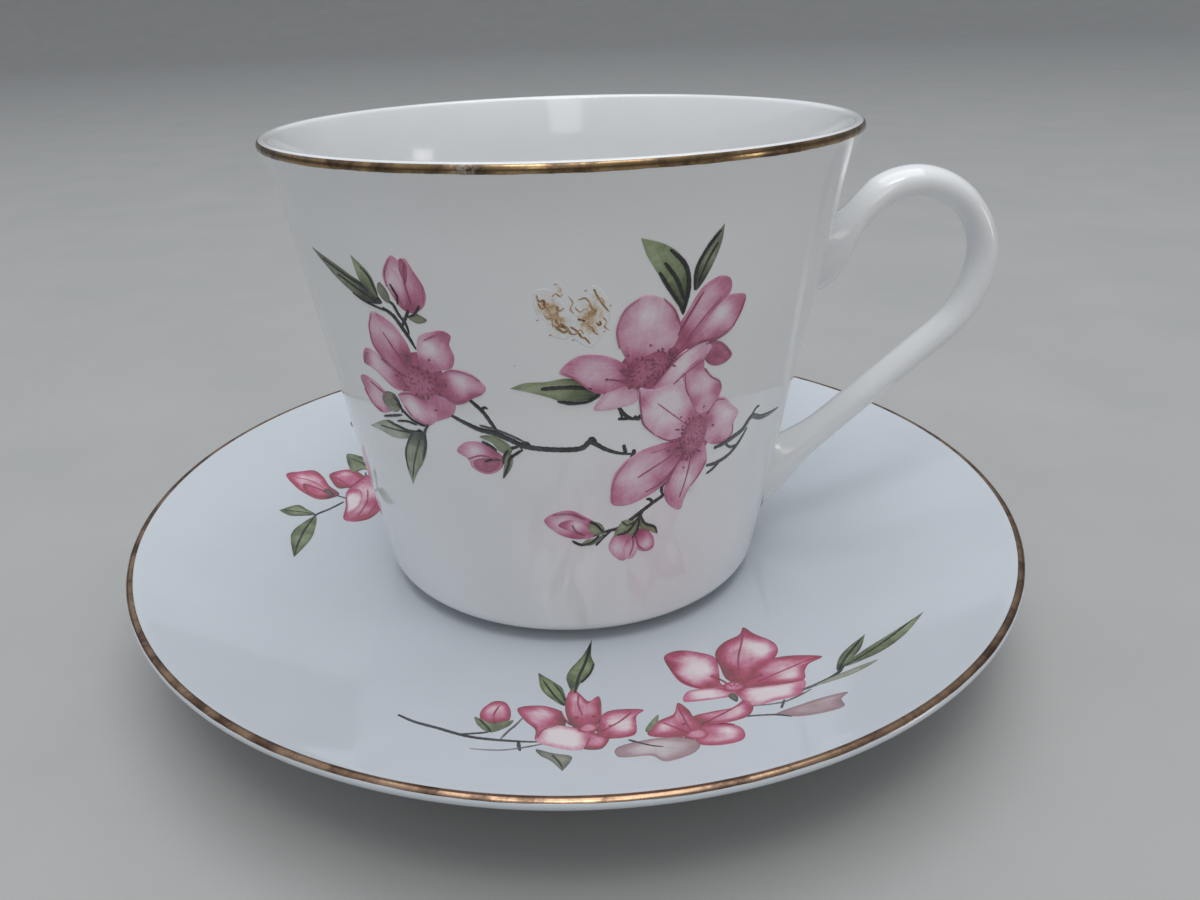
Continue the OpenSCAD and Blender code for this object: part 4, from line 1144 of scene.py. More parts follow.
def cup_ray(start, direction, reach, shares):
    """Places on the cup at shares of a reach, in millimetres, from a place in one direction."""
    turn = math.radians(direction)
    return [(start[0] + t * reach * math.cos(turn) / CUP_DRAW_SCALE,
             start[1] + t * reach * math.sin(turn)) for t in shares]


def petal_outline(base, direction, length, width, belly, notch=0.0):
    """Outline of a petal or leaf that grows from a place on the cup. belly above 1 moves its
    widest part towards the tip; notch is the share of its length that is missing there."""
    turn = math.radians(direction)
    run = Vector((math.cos(turn), math.sin(turn)))
    side = Vector((-run.y, run.x))
    left = [(t, math.sin(math.pi * t ** belly)) for t in (0.2, 0.4, 0.6, 0.8, 0.94)]
    outline = [(0, 0), *left, (1 - notch, 0.0), *((t, -w) for t, w in reversed(left))]
    start = Vector(cup_units(base))
    points = [start + run * length * t + side * width / 2 * w for t, w in outline]
    return [(p.x / CUP_DRAW_SCALE, p.y) for p in points]


def petal_ring(heart, radius):
    """A small ragged disc, as places on the cup."""
    places = []
    for i in range(9):
        a = 2 * math.pi * i / 9
        ragged = radius * (1 + 0.18 * math.sin(3 * a + 0.6))
        places.append((heart[0] + ragged * math.cos(a) / CUP_DRAW_SCALE,
                       heart[1] + ragged * math.sin(a)))
    return places


def flower_petals(heart, petals):
    """Painted shapes of a plain blossom, from (direction, length, width, tone) of each petal."""
    shapes = [(0.84, 0, [], petal_ring(heart, 1.9))]
    for i, (direction, length, width, tone) in enumerate(petals):
        [tip] = cup_ray(heart, direction, length, [0.8])
        washes = [(*heart, 3.4, 0.5), (*tip, 1.8, -0.1)]
        outline = petal_outline(heart, direction, length, width, 1.6, 0.06)
        shapes.append((tone, 1 + i % 4, washes, outline))
    shapes.append((0.70, 6, [], petal_ring(heart, 1.3)))
    return shapes


def draw_blossoms(page, blossoms):
    """Painted shapes of blossoms, with their pale washes lightened further."""
    for heart, shapes in blossoms:
        for tone, layer, washes, outline in shapes:
            gained = [(x, y, r, c * PALE_GAIN if c < 0 else c) for x, y, r, c in washes]
            page.blade(outline, tone, gained, layer, base=heart)


def draw_stamens(page, heart, reach, count, tone, layer):
    """Short dashes of paint scattered around a blossom's heart. reach is in millimetres."""
    across = page.units((1, 0))[0]
    for i in range(1, count + 1):
        a = i * STAMEN_TURN
        inner = reach * math.sqrt(i / count) * 0.8
        outer = inner + 0.45 + 0.35 * math.sin(5.1 * i)
        middle = (inner + outer) / 2
        bend = 0.14 * math.sin(2.3 * i)
        line = [(heart[0] + r * math.cos(a + turn) / across, heart[1] + r * math.sin(a + turn))
                for r, turn in ((inner, 0), (middle, bend), (outer, 0))]
        page.stroke(line, 0.3, tone + 0.08 * math.sin(1.7 * i), layer)


def draw_leaves(page, leaves):
    """Painted leaves from (tone, greyness, washes, outline)."""
    for tone, grey, washes, outline in leaves:
        page.blade(outline, tone, washes, LEAF_LAYER, grey)


def draw_lines(page, lines, layer):
    """Painted lines from (width, tone, points)."""
    for width, tone, points in lines:
        page.stroke(points, width, tone, layer)


def draw_dots(page, places, size, tone, layer):
    """Small round dabs of paint."""
    reach = size / 2 / page.units((1, 0))[0]
    for x, y in places:
        page.stroke([(x - reach, y - 0.04), (x, y), (x + reach, y + 0.05)], size, tone, layer,
                    taper=(0.5, 0.5), wobble=0.0)


def cup_page():
    return Print(on_cup, cup_units)


petals = cup_page()
draw_blossoms(petals, CUP_BLOSSOMS)
draw_lines(petals, CUP_PETAL_LINES, layer=11)
for heart, reach in CUP_STAMENS:
    draw_stamens(petals, heart, reach, count=30, tone=0.92, layer=11)
draw_dots(petals, CUP_ANTHERS, size=0.34, tone=0.9, layer=12)
petals.make("cup_front_petals", cup_petal_enamel, "cup", "cup_front_transfer")

leaves = cup_page()
draw_leaves(leaves, CUP_LEAVES)
draw_lines(leaves, CUP_LEAF_LINES, layer=10)
leaves.make("cup_front_leaves", leaf_enamel, "cup", "cup_front_transfer")

twigs = cup_page()
draw_lines(twigs, CUP_TWIGS, TWIG_LAYER)
twigs.make("cup_front_twigs", twig_enamel, "cup", "cup_front_transfer")

back_petals = cup_page()
draw_blossoms(back_petals, [(BACK_HEART, flower_petals(BACK_HEART, BACK_PETALS))])
bud_place = BACK_BUD[0]
bud_outline = petal_outline(*BACK_BUD, belly=1.3, notch=0.05)
back_petals.blade(bud_outline, tone=0.34, washes=[(*bud_place, 2.4, 0.4)], layer=1)
for direction, length, width, tone in BACK_PETALS:
    for spread, share in BACK_PETAL_LINES:
        line = cup_ray(BACK_HEART, direction + spread, length, (0.05, share / 2, share))
        back_petals.stroke(line, width=0.22, tone=0.86, layer=8)
back_petals.make("cup_back_petals", cup_petal_enamel, "cup", "cup_back_transfer")

back_leaves = cup_page()
for place, direction, length, width in BACK_LEAVES:
    outline = petal_outline(place, direction, length, width, belly=1.0)
    draw_leaves(back_leaves, [(0.26, 0.2, [(*place, 2.4, 0.25)], outline)])
    vein = cup_ray(place, direction, length, (0.0, 0.4, 0.8))
    back_leaves.stroke(vein, width=0.4, tone=0.95, layer=9)
back_leaves.make("cup_back_leaves", leaf_enamel, "cup", "cup_back_transfer")

back_twigs = cup_page()
draw_lines(back_twigs, [(0.66, 0.8, line) for line in BACK_TWIGS], TWIG_LAYER)
back_twigs.make("cup_back_twigs", twig_enamel, "cup", "cup_back_transfer")

# Worn gold above the right blossoms. Scribbles: (width, tone, points)
GOLD_SCRIBBLES = [
    (0.34, 0.80, [(-4.8, 55), (-4.4, 54.2), (-3.6, 54.4), (-3.5, 53.6), (-2.6, 53)]),
    (0.30, 0.72, [(-4.6, 54), (-4, 53.3), (-3.2, 53.5), (-2.8, 52.6)]),
    (0.42, 0.86, [(-1.8, 52), (-1.2, 51.2), (0.3, 50.8), (-0.5, 50.3), (-2, 51.2)]),
    (0.34, 0.80, [(-1.6, 50.6), (-0.9, 51.4), (-0.1, 50.9), (0.8, 50.2)]),
    (0.30, 0.78, [(-0.3, 53.4), (-1, 53), (-1.5, 53.6), (-1.3, 52.3)]),
    (0.36, 0.98, [(2, 51.9), (2.6, 51.8), (3.3, 51.6)]),
    (0.32, 0.84, [(0.7, 51), (2, 50.3), (2.6, 49.6), (3.2, 49.5), (4.1, 48.7)]),
    (0.26, 0.74, [(0.4, 50.2), (1.6, 50), (2.4, 50.6), (3, 50)]),
    (0.34, 0.82, [(4.8, 55.5), (5.3, 54.7), (6, 53.9), (6.4, 53.5), (7.4, 52.6)]),
    (0.28, 0.66, [(5.2, 54.2), (6, 54.4), (6.6, 53.7)]),
    (0.28, 0.70, [(2.2, 54.3), (3.2, 54.5), (4, 54), (4.4, 53.2), (5.3, 52.7)]),
    (0.26, 0.66, [(1.6, 53.4), (2.4, 52.8), (3.4, 53.2), (4, 52.5)]),
    (0.34, 0.88, [(5.2, 51.4), (5.6, 51), (6, 51.2), (5.7, 51.6)]),
    (0.26, 0.66, [(-2.2, 54.8), (-1.6, 55.2), (-0.9, 54.8), (-0.4, 55.1)]),
    (0.26, 0.68, [(-3.7, 52.6), (-3, 52), (-2.4, 52.2), (-2.3, 51)]),
    (0.24, 0.62, [(0.5, 54.8), (1.2, 54), (0.8, 53.2), (1.4, 52.6)]),
    (0.28, 0.70, [(3.6, 51), (4.4, 50.8), (4.9, 50.1), (5.6, 49.8)]),
    (0.24, 0.62, [(6.3, 52), (7, 51.4), (6.6, 50.8), (7.5, 50.3)]),
]
GOLD_DOTS = [
    (-1.5, 56.3), (3.4, 55.4), (6.6, 50.2), (-4.9, 51.9), (1.2, 49.3), (-2.8, 50), (7.6, 53.4),
]
# Stains under them: (tone, outline)
GOLD_STAINS = [
    (0.54, [(-5.4, 55.2), (-3.8, 55.8), (-2, 55.4), (-0.4, 53.8), (-0.6, 52.4), (1.2, 51.8), (1.4, 50),
            (-0.6, 49.4), (-2.6, 50), (-3.4, 51.6), (-5, 52.6)]),
    (0.46, [(0.6, 52), (1.8, 53.8), (3.2, 55), (4.8, 56), (6.2, 55.2), (7.6, 53.6), (7.4, 51.4),
            (6.2, 49.6), (4.4, 48.2), (2.8, 48.6), (1, 49.8)]),
    (0.34, [(-2, 55.6), (-1.4, 56.6), (-0.2, 55.8), (-0.6, 54.6)]),
]
STAIN_LAYER, SCRIBBLE_LAYER = -2, 1
SCRIBBLE_THINNING, SCRIBBLE_DARKENING = 0.95, 0.14

flecks = cup_page()
for tone, outline in GOLD_STAINS:
    flecks.blade(outline, tone, [], STAIN_LAYER)
for width, tone, points in GOLD_SCRIBBLES:
    flecks.stroke(points, width * SCRIBBLE_THINNING, tone + SCRIBBLE_DARKENING, SCRIBBLE_LAYER,
                  wobble=0.3)
draw_dots(flecks, GOLD_DOTS, size=0.28, tone=0.7, layer=SCRIBBLE_LAYER)
flecks.make("cup_gold_scribbles", fleck_gold, "cup", "cup_gold_flecks", "gold_lustre")


# ---------------------------------------------------------------- sprays on the saucer

# The same lists as for the cup, but with places as x and y in the frame of the model
SAUCER_BLOSSOMS = [
    # Bud
    ((-10.6, -50.6), [
        (0.46, 1, [(-10.6, -50, 1.4, 0.3), (-11, -46.6, 1.3, -0.1)],
         [(-10.6, -51), (-12.1, -50.2), (-12.6, -48.5), (-12.3, -46.7), (-11, -44.9), (-9.5, -45.2),
          (-8.7, -47.3), (-8.7, -49.6), (-9.4, -50.6)]),
    ]),
    # Left blossom
    ((-1.2, -51.4), [
        (0.46, 1, [(-2.6, -50.6, 1.6, 0.35), (-4.6, -47, 1.6, -0.12), (-5.2, -53, 1.4, 0.25)],
         [(-1.6, -51.2), (-2, -48.6), (-2.6, -47.1), (-5, -46), (-7.8, -46.7), (-6.8, -49.8),
          (-5.4, -52.2), (-5.3, -54.8), (-4, -52.8), (-2.8, -51.6)]),
        (0.50, 3, [(0.4, -50.4, 1.7, 0.3), (-0.6, -44, 1.5, -0.1), (2.6, -46, 1.2, 0.1)],
         [(0.2, -52.8), (-1, -51), (-1.6, -47.7), (-1.5, -44.4), (-0.6, -41.8), (0.4, -43.3),
          (1.5, -45.2), (2.8, -44), (3.1, -46.5), (2.6, -51), (1.2, -53)]),
        (0.34, 2, [(3.4, -53, 1.7, 0.35), (6.4, -48.8, 1.5, 0.1), (5.4, -51.6, 1.5, -0.12)],
         [(2.2, -54.4), (2.7, -50.6), (3.4, -48.4), (5.2, -47.6), (8.4, -48), (7.4, -49.7), (7, -54),
          (5.2, -55), (3.4, -55)]),
        (0.04, 5, [(1, -54, 1.6, 0.25), (-4.6, -53.6, 1.2, 0.1)],
         [(1.4, -53.3), (-0.8, -51.8), (-3, -51.2), (-4.6, -52.1), (-5.2, -54.5), (-5, -55.6),
          (-3, -56.8), (-1, -57.7), (0.5, -57.5), (1.1, -55.5)]),
        (0.68, 4, [(2.6, -56, 1.2, -0.15)],
         [(1.2, -52.9), (2.8, -54.2), (3.7, -55), (2.6, -57.6), (0.5, -57.4), (1, -55.2)]),
        (0.50, 6, [],
         [(0.2, -51.8), (1.2, -50.8), (2.4, -51.6), (2.2, -53), (0.8, -53.4), (-0.2, -52.8)]),
    ]),
    # Middle blossom
    ((14, -55.4), [
        (0.50, 3, [(12.4, -53.6, 1.7, 0.3), (13.6, -49.2, 1.3, 0.05), (10.6, -53, 1.3, -0.14)],
         [(13.4, -55.8), (11, -55.7), (8.4, -54.6), (9.9, -51.4), (12.1, -49.7), (13, -46.9),
          (14.1, -48.8), (14.4, -50.5), (15.1, -53), (14.4, -55)]),
        (0.42, 2, [(15.4, -55.6, 1.5, 0.35), (18, -55.6, 1.4, -0.12)],
         [(14, -56), (15, -53.4), (17, -53.3), (19.1, -54.1), (19.8, -56), (19.1, -58.2), (16.5, -58.9),
          (14.1, -58.1)]),
        (0.52, 2, [(15.6, -52.6, 1.4, 0.25), (19.6, -50.6, 1.6, -0.1)],
         [(15, -53.2), (14.4, -50.8), (17, -49.9), (20, -49.3), (21.6, -47.4), (22.2, -49.5),
          (21.1, -52), (18.5, -53.1)]),
        (0.50, 5, [], [(12.8, -56.2), (13.2, -54.6), (14.8, -54.2), (15.6, -55.4), (14.8, -56.8)]),
    ]),
    # Right blossom
    ((20.4, -44.4), [
        (0.50, 3, [(22.2, -40, 2.0, 0.28), (26.4, -34.4, 2.3, -0.3), (20.8, -35.6, 1.5, 0.1)],
         [(21.8, -43.4), (20.2, -41.8), (19.9, -38.5), (19.8, -34.8), (21.4, -32.1), (24, -30.3),
          (25, -28.4), (26.2, -30.4), (28.2, -33), (28.5, -35.5), (27.2, -38.2), (25.2, -40.4),
          (23.2, -43)]),
        (0.26, 4, [(13.6, -37, 1.5, 0.4), (18, -42.4, 1.7, 0.35), (14.4, -34.4, 1.3, 0.25),
                   (17, -38.4, 1.9, -0.12)],
         [(19.4, -43.8), (16.4, -43.7), (14.1, -41.6), (13, -38), (12.6, -34.6), (14.8, -33.3),
          (17.5, -34.1), (19.6, -35.9), (19.5, -40), (19.2, -42.4)]),
        (0.44, 4, [(24.6, -43.2, 2.0, 0.28), (30, -39.4, 1.5, 0.12), (28.6, -42.4, 1.6, -0.16)],
         [(21.6, -44.2), (23, -41.6), (25, -39.3), (27, -37.8), (30, -37.6), (33.6, -39), (31.6, -40.4),
          (30.6, -42), (29.6, -44.7), (26, -45), (22.6, -44.8)]),
        (0.10, 2, [(21.6, -45.2, 1.5, 0.35), (28.4, -46.8, 1.4, 0.2), (24.8, -48.2, 1.4, 0.1)],
         [(20.8, -44.3), (25, -44.8), (29.6, -44.6), (29.2, -47), (28, -48.5), (25, -49), (22, -49.7),
          (21, -47)]),
        (0.14, 2, [(19.4, -44.8, 1.3, 0.35), (15, -46, 1.2, 0.15)],
         [(20.4, -44.4), (17.5, -43.8), (14.7, -44.1), (13.8, -46.6), (16, -46.8), (18, -46.7),
          (20.6, -46.2)]),
        (0.52, 6, [],
         [(19.6, -43.2), (21, -42.6), (22.2, -43.6), (22, -45), (20.6, -45.4), (19.4, -44.6)]),
    ]),
]
# Faded mauve shapes: (tone, washes, outline)
SAUCER_FADED = [
    (0.42, [(9, -58, 2.0, -0.2)],
     [(4.6, -57.4), (8.5, -55.8), (12, -55.8), (14.2, -57.5), (13.2, -60.2), (9.8, -61.9), (8.2, -60.1),
      (4.6, -60)]),
    (0.50, [(30, -52, 1.8, 0.1)],
     [(24.4, -52.5), (28, -50.9), (31, -50), (33.8, -49.8), (32.6, -51.3), (32.2, -53.5), (29, -54.2),
      (26.4, -53.9)]),
]
SAUCER_PETAL_LINES = [
    (0.34, 0.84, [(-2.2, -47.6), (-1.8, -49.4), (-1, -51.2)]),
    (0.30, 0.80, [(2.8, -46.4), (2.9, -48.8), (2.2, -51)]),
    (0.30, 0.78, [(0.2, -43.4), (0.1, -46), (0.6, -49)]),
    (0.30, 0.84, [(-5, -54.4), (-4.4, -52.4), (-2.8, -51.4)]),
    (0.30, 0.78, [(6.8, -48.6), (5.2, -50.8), (3, -53)]),
    (0.30, 0.80, [(6.9, -53.8), (5.2, -54.8), (3, -54.6)]),
    (0.28, 0.84, [(12.9, -47.8), (13.2, -50.6), (13.6, -54.2)]),
    (0.28, 0.78, [(10.6, -51.8), (12, -53.4), (13.4, -55)]),
    (0.28, 0.78, [(15.2, -53.4), (17.4, -53.2), (19, -54)]),
    (0.28, 0.80, [(21.4, -48.2), (18.4, -50.6), (15.4, -52.8)]),
    (0.30, 0.86, [(24.8, -29.6), (24, -32.4), (22.8, -36.4), (22, -41)]),
    (0.34, 0.88, [(12.9, -35), (13.3, -38), (14.4, -41.4), (16.4, -43.4)]),
    (0.28, 0.82, [(32.8, -39), (29.4, -40.6), (24, -43.4)]),
    (0.28, 0.80, [(29.4, -44.5), (26, -44.8), (22.4, -44.6)]),
    (0.26, 0.86, [(20.6, -44), (19.4, -41.8), (18.6, -41)]),
    (0.26, 0.86, [(20.8, -44), (21.4, -41.6), (21.2, -40)]),
    (0.26, 0.86, [(21, -44.2), (23.4, -42.4), (24.6, -42)]),
    (0.28, 0.78, [(-10.6, -50.6), (-10.8, -48.4), (-10.2, -46)]),
]
SAUCER_ANTHERS = [
    (18.4, -40.8), (21.2, -39.6), (24.8, -41.8), (17.6, -43), (-0.2, -49.4), (2, -49.2), (13, -52.6),
    (15.6, -53.2), (4, -51.8),
]
SAUCER_LEAVES = [
    (0.40, 0.1, [(-10.6, -51.8, 1.0, 0.2)],
     [(-10.9, -53), (-12.6, -51.2), (-13.2, -49), (-12, -50.2), (-10.6, -50.8), (-9.2, -50.6),
      (-8.2, -49.8), (-8.8, -51.4)]),
    (0.50, 0.0, [(-3.6, -41.4, 1.6, -0.14)],
     [(-1.6, -46.2), (-4, -43.5), (-5, -41), (-5.3, -37.6), (-5.3, -37.6), (-2.8, -40.4),
      (-1.8, -42.3)]),
    (0.54, 0.0, [(1, -37, 2.2, -0.14), (2, -32, 1.5, 0.1)],
     [(-0.4, -43.2), (-1.4, -39.5), (-0.9, -37), (0.3, -34.8), (1.3, -32.8), (2.5, -29.4), (2.5, -29.4),
      (2.2, -33.5), (2.6, -36), (1.8, -38.5), (0.5, -40.5)]),
    (0.46, 0.8, [(-2.4, -61, 1.4, -0.15)],
     [(-1.1, -59.2), (-3, -58.5), (-5.1, -57.4), (-4.6, -59), (-3.3, -60.5), (-2, -63.2), (-2, -63.2),
      (-1, -60.5)]),
    (0.42, 0.3, [], [(9.2, -51), (10.2, -49.6), (9.8, -52), (9, -54.2), (8.2, -53.4)]),
    (0.58, 0.7, [], [(19.6, -46.4), (20.4, -48), (20.8, -46.6), (20.2, -45.6)]),
    (0.56, 0.2, [(39.6, -36.6, 2.0, -0.15)],
     [(34.4, -43.6), (35.4, -40.6), (37.4, -38), (40.6, -35.2), (40.6, -35.2), (39, -38.6),
      (36.8, -41.4)]),
    (0.54, 0.3, [(46, -35.4, 3.0, -0.25)],
     [(35.3, -42.9), (38.4, -40), (43, -36.9), (49.4, -32.8), (49.4, -32.8), (45.2, -37.6),
      (40.6, -41)]),
    (0.22, 0.6, [], [(30.8, -46.6), (34.4, -44.6), (39.8, -42.8), (36, -45.2)]),
    (0.46, 0.2, [],
     [(-43.2, 24.2), (-45.2, 29.7), (-42.5, 30), (-40, 29), (-38.8, 26), (-39, 24.3), (-41, 25.6)]),
    (0.50, 0.2, [(-50, 8.2, 1.4, -0.1)],
     [(-46.8, 7.8), (-48.5, 9), (-50.5, 9.9), (-53, 7), (-53, 7), (-51, 6), (-49, 6.6)]),
    (0.42, 0.15, [(-47.6, 0, 1.9, 0.1), (-47.4, -5, 1.6, 0.12)],
     [(-46.6, 7.2), (-48.4, 4), (-49.2, 1), (-48.8, -2), (-47, -7.2), (-47, -7.2), (-45.8, -1),
      (-45.8, 3)]),
    (0.70, 0.9, [], [(-44.8, 15.2), (-46.4, 17.2), (-47.2, 15.6), (-46.2, 13.8)]),
    (0.40, 0.8, [], [(-45, 38.8), (-46.2, 40.2), (-45.4, 41.6), (-44.6, 40.4)]),
]
SAUCER_LEAF_LINES = [
    (0.34, 0.88, [(-1.8, -46), (-3.2, -43.2), (-4.6, -39.6)]),
    (0.30, 0.84, [(-1.6, -45), (-2.2, -42.6), (-3.2, -40.6)]),
    (0.44, 0.94, [(-0.3, -43), (0.3, -39), (1.4, -35), (2.2, -31)]),
    (0.36, 0.92, [(0.6, -40.4), (1.9, -38), (2.5, -35.6)]),
    (0.30, 0.80, [(-3.2, -59), (-2.4, -60.8), (-2, -62.4)]),
    (0.40, 0.90, [(34.6, -43.4), (36.6, -40.2), (39.8, -36.2)]),
    (0.40, 0.86, [(35.4, -42.8), (40.4, -39.6), (47.4, -34.2)]),
    (0.36, 0.86, [(-46.8, 7), (-47.4, 2), (-47.4, -3), (-47, -6.4)]),
    (0.36, 0.88, [(-44, 28.6), (-41.4, 27.4), (-39.4, 25)]),
    (0.30, 0.84, [(-47, 7.8), (-49.6, 7.8), (-52, 7.2)]),
    (0.34, 0.90, [(-12.6, -49.6), (-11.4, -51.6), (-10.8, -53)]),
]
SAUCER_TWIGS = [
    (0.62, 0.78, [(-22.8, -49.4), (-20.5, -51), (-17.5, -52.3), (-14, -54), (-11, -54.8), (-6, -55.4),
                  (-4, -55.2)]),
    (0.50, 0.66, [(-7.3, -55.5), (-7.2, -56.6), (-7, -57.8)]),
    (0.44, 0.72, [(-15, -53.8), (-13, -53.4), (-11.4, -53), (-10.8, -52.4)]),
    (0.36, 0.35, [(-9.5, -54.6), (-8.6, -52.4), (-8, -51.3), (-7, -49)]),
    (0.36, 0.30, [(-4.4, -56), (-9, -57.6), (-13, -57.4)]),
    (0.40, 0.60, [(-1, -46.4), (-0.8, -45), (-0.4, -43)]),
    (0.44, 0.55, [(20, -52), (24, -52.6), (26, -53.8)]),
    (0.36, 0.50, [(25.3, -51.2), (25.8, -50), (26.2, -49)]),
    (0.60, 0.62, [(28.3, -47.4), (31, -46.3), (34, -44.5), (35.7, -42.3)]),
    (0.36, 0.40, [(22, -49.6), (26, -49.6), (30, -47.4)]),
    (0.46, 0.70, [(6, -55.6), (8.4, -57.4), (10, -58)]),
    (0.50, 0.66, [(-42.8, 13.4), (-44.8, 10.3), (-46.5, 8), (-47, 6)]),
    (0.44, 0.66, [(-44.4, 15.2), (-43.4, 15), (-42.4, 14.6)]),
    (0.40, 0.60, [(-40.6, 24.6), (-40.4, 23.4), (-40.8, 22)]),
]
SIDE_BLOSSOMS = [
    ((-44.6, 15.2), [
        (0.48, 2, [(-46, 16, 1.5, 0.3), (-51.4, 19.4, 1.8, -0.1)],
         [(-44.1, 16), (-46.4, 18.2), (-48, 20.7), (-50, 22.3), (-52.1, 21.2), (-54.6, 19),
          (-52.2, 15.8), (-50, 14.1), (-47.5, 13), (-45.3, 14)]),
        (0.62, 3, [(-49, 15.8, 1.2, 0.05)],
         [(-45.2, 14.9), (-47.8, 16.6), (-51, 17.4), (-50.4, 15.2), (-47.6, 13.6)]),
    ]),
    ((-42, 15), [
        (0.60, 2, [(-43.6, 20, 1.5, 0.15), (-44.6, 23.4, 1.3, -0.15)],
         [(-43, 18.4), (-44.6, 17.8), (-46, 19.4), (-47.1, 22), (-45.1, 24.2), (-43, 24.8),
          (-40.8, 23.4), (-40.3, 21), (-41.4, 19)]),
        (0.34, 3, [(-37.2, 14, 2.3, 0.4), (-38.6, 21, 1.7, 0.1), (-41.4, 14, 1.5, -0.2),
                   (-38.6, 9.2, 1.5, 0.2)],
         [(-42.4, 19.2), (-40.7, 23.5), (-38.3, 23), (-36.8, 20), (-35.2, 15), (-35.8, 11.5),
          (-37.3, 8.3), (-40, 6.9), (-41.8, 7.8), (-41.9, 12), (-42.9, 16)]),
        (0.10, 5, [(-41.6, 17.4, 1.3, 0.3)],
         [(-42.2, 18), (-40.6, 18.4), (-39.6, 15.4), (-39.8, 11.6), (-41.2, 9.4), (-42.2, 12.4),
          (-42.8, 15.6)]),
    ]),
]
SIDE_PETAL_LINES = [
    (0.30, 0.84, [(-46.6, 21.6), (-44.6, 20.6), (-43, 19.2)]),
    (0.32, 0.88, [(-40.6, 23), (-41.6, 20.6), (-42.6, 18.6)]),
    (0.30, 0.84, [(-39.2, 18.6), (-38.6, 14), (-39.4, 9)]),
    (0.28, 0.76, [(-37.8, 19.4), (-36.8, 14.6), (-37.6, 10)]),
    (0.28, 0.70, [(-52.8, 18.6), (-50, 18.6), (-46.4, 16.6)]),
    (0.30, 0.84, [(-41.8, 8.2), (-42, 12), (-42.8, 15.8)]),
]
SIDE_X = -30             # leaves and twigs left of this belong to the spray left of the cup


def saucer_page():
    return Print(on_saucer, saucer_units)


def make_saucer_petals(spray, blossoms, faded, petal_lines, anthers):
    """Blossoms of a spray, with its faded shapes, petal lines and dots."""
    page = saucer_page()
    draw_blossoms(page, blossoms)
    for tone, washes, outline in faded:
        page.blade(outline, tone, washes, layer=1, hue=1.0)
    draw_lines(page, petal_lines, layer=9)
    draw_dots(page, anthers, size=0.46, tone=0.95, layer=10)
    page.make(f"saucer_{spray}_petals", saucer_petal_enamel, "saucer", f"saucer_{spray}_transfer")


def make_saucer_greens(spray, belongs):
    """Leaves and twigs of a spray: the listed ones for which belongs(x of the first point) is true."""
    leaves, lines, twigs = [
        [item for item in items if belongs(item[-1][0][0])]
        for items in (SAUCER_LEAVES, SAUCER_LEAF_LINES, SAUCER_TWIGS)
    ]
    page = saucer_page()
    draw_leaves(page, leaves)
    draw_lines(page, lines, layer=9)
    page.make(f"saucer_{spray}_leaves", leaf_enamel, "saucer", f"saucer_{spray}_transfer")
    page = saucer_page()
    draw_lines(page, twigs, TWIG_LAYER)
    page.make(f"saucer_{spray}_twigs", twig_enamel, "saucer", f"saucer_{spray}_transfer")


make_saucer_petals("front", SAUCER_BLOSSOMS, SAUCER_FADED, SAUCER_PETAL_LINES, SAUCER_ANTHERS)
make_saucer_greens("front", lambda x: x >= SIDE_X)
make_saucer_petals("side", SIDE_BLOSSOMS, [], SIDE_PETAL_LINES, [])
make_saucer_greens("side", lambda x: x < SIDE_X)


# ---------------------------------------------------------------- floor, light and camera

FLOOR_R, FLOOR_TURN_R = 2.6, 1.2
FLOOR_SEGMENTS = 96


def floor_sheet():
    """A pale round floor, in metres, whose edge curves up far away on every side."""
    profile = [(FLOOR_R * share, 0.0) for share in (0.1, 0.3, 0.6, 1.0)]
    profile += [(FLOOR_R + r, FLOOR_TURN_R + z)
                for r, z in arc((0, 0), FLOOR_TURN_R, -math.pi / 2, 0, 16)[1:]]
    verts = [(0, 0, 0)]
    for r, z in profile:
        verts += [(r * math.cos(a) / MM, r * math.sin(a) / MM, z / MM)
                  for a in [2 * math.pi * s / FLOOR_SEGMENTS for s in range(FLOOR_SEGMENTS)]]
    faces = []
    for s in range(FLOOR_SEGMENTS):
        n = (s + 1) % FLOOR_SEGMENTS
        faces.append((0, 1 + s, 1 + n))
        for j in range(len(profile) - 1):
            a = 1 + j * FLOOR_SEGMENTS
            b = a + FLOOR_SEGMENTS
            faces.append((a + s, b + s, b + n, a + n))
    return new_object("floor", verts, faces)


def floor_paint():
    """Pale matt paint with slow drifts of tone."""
    s = Shader("floor paint", roughness=0.62)
    place = s.place()
    tone = s.noise(place, 0.02, 4, 0.6)
    colour = s.ramp(tone, [(0.3, (0.39, 0.39, 0.38)), (0.7, (0.42, 0.415, 0.405))])
    return s.set(base_color=colour, normal=s.bump(s.noise(place, 0.9, 4, 0.6), 0.05, 0.4))


floor_material = floor_paint()
floor = floor_sheet()
floor.data.materials.append(floor_material)


def area_light(name, place, aim, size, power, colour):
    """A rectangular light. place and aim are in metres, size is (width, height), power in watts."""
    data = bpy.data.lights.new(name, "AREA")
    data.shape = "RECTANGLE"
    data.size, data.size_y = size
    data.energy = power
    data.color = colour
    obj = bpy.data.objects.new(name, data)
    obj.location = place
    obj.rotation_euler = (Vector(aim) - Vector(place)).to_track_quat("-Z", "Y").to_euler()
    bpy.context.scene.collection.objects.link(obj)


area_light("overhead", (0.05, 0.0, 1.2), (0, 0, 0.03), (1.1, 0.9), 6.6, (0.955, 0.98, 1.0))
area_light("high front", (-0.05, -0.5, 1.1), (0, -0.04, 0.02), (0.4, 0.3), 1.7, (1.0, 0.99, 0.98))
area_light("window", (-0.05, -0.78, 0.62), (0, 0, 0.05), (0.24, 0.5), 0.55, (1.0, 0.975, 0.94))
area_light("side", (0.9, -0.3, 0.16), (0, 0, 0.05), (0.18, 0.26), 0.5, (1.0, 0.99, 0.97))

SKY_AXIS = Vector((-0.2, 0.12, 0.95)).normalized()     # the sky is brightest this way


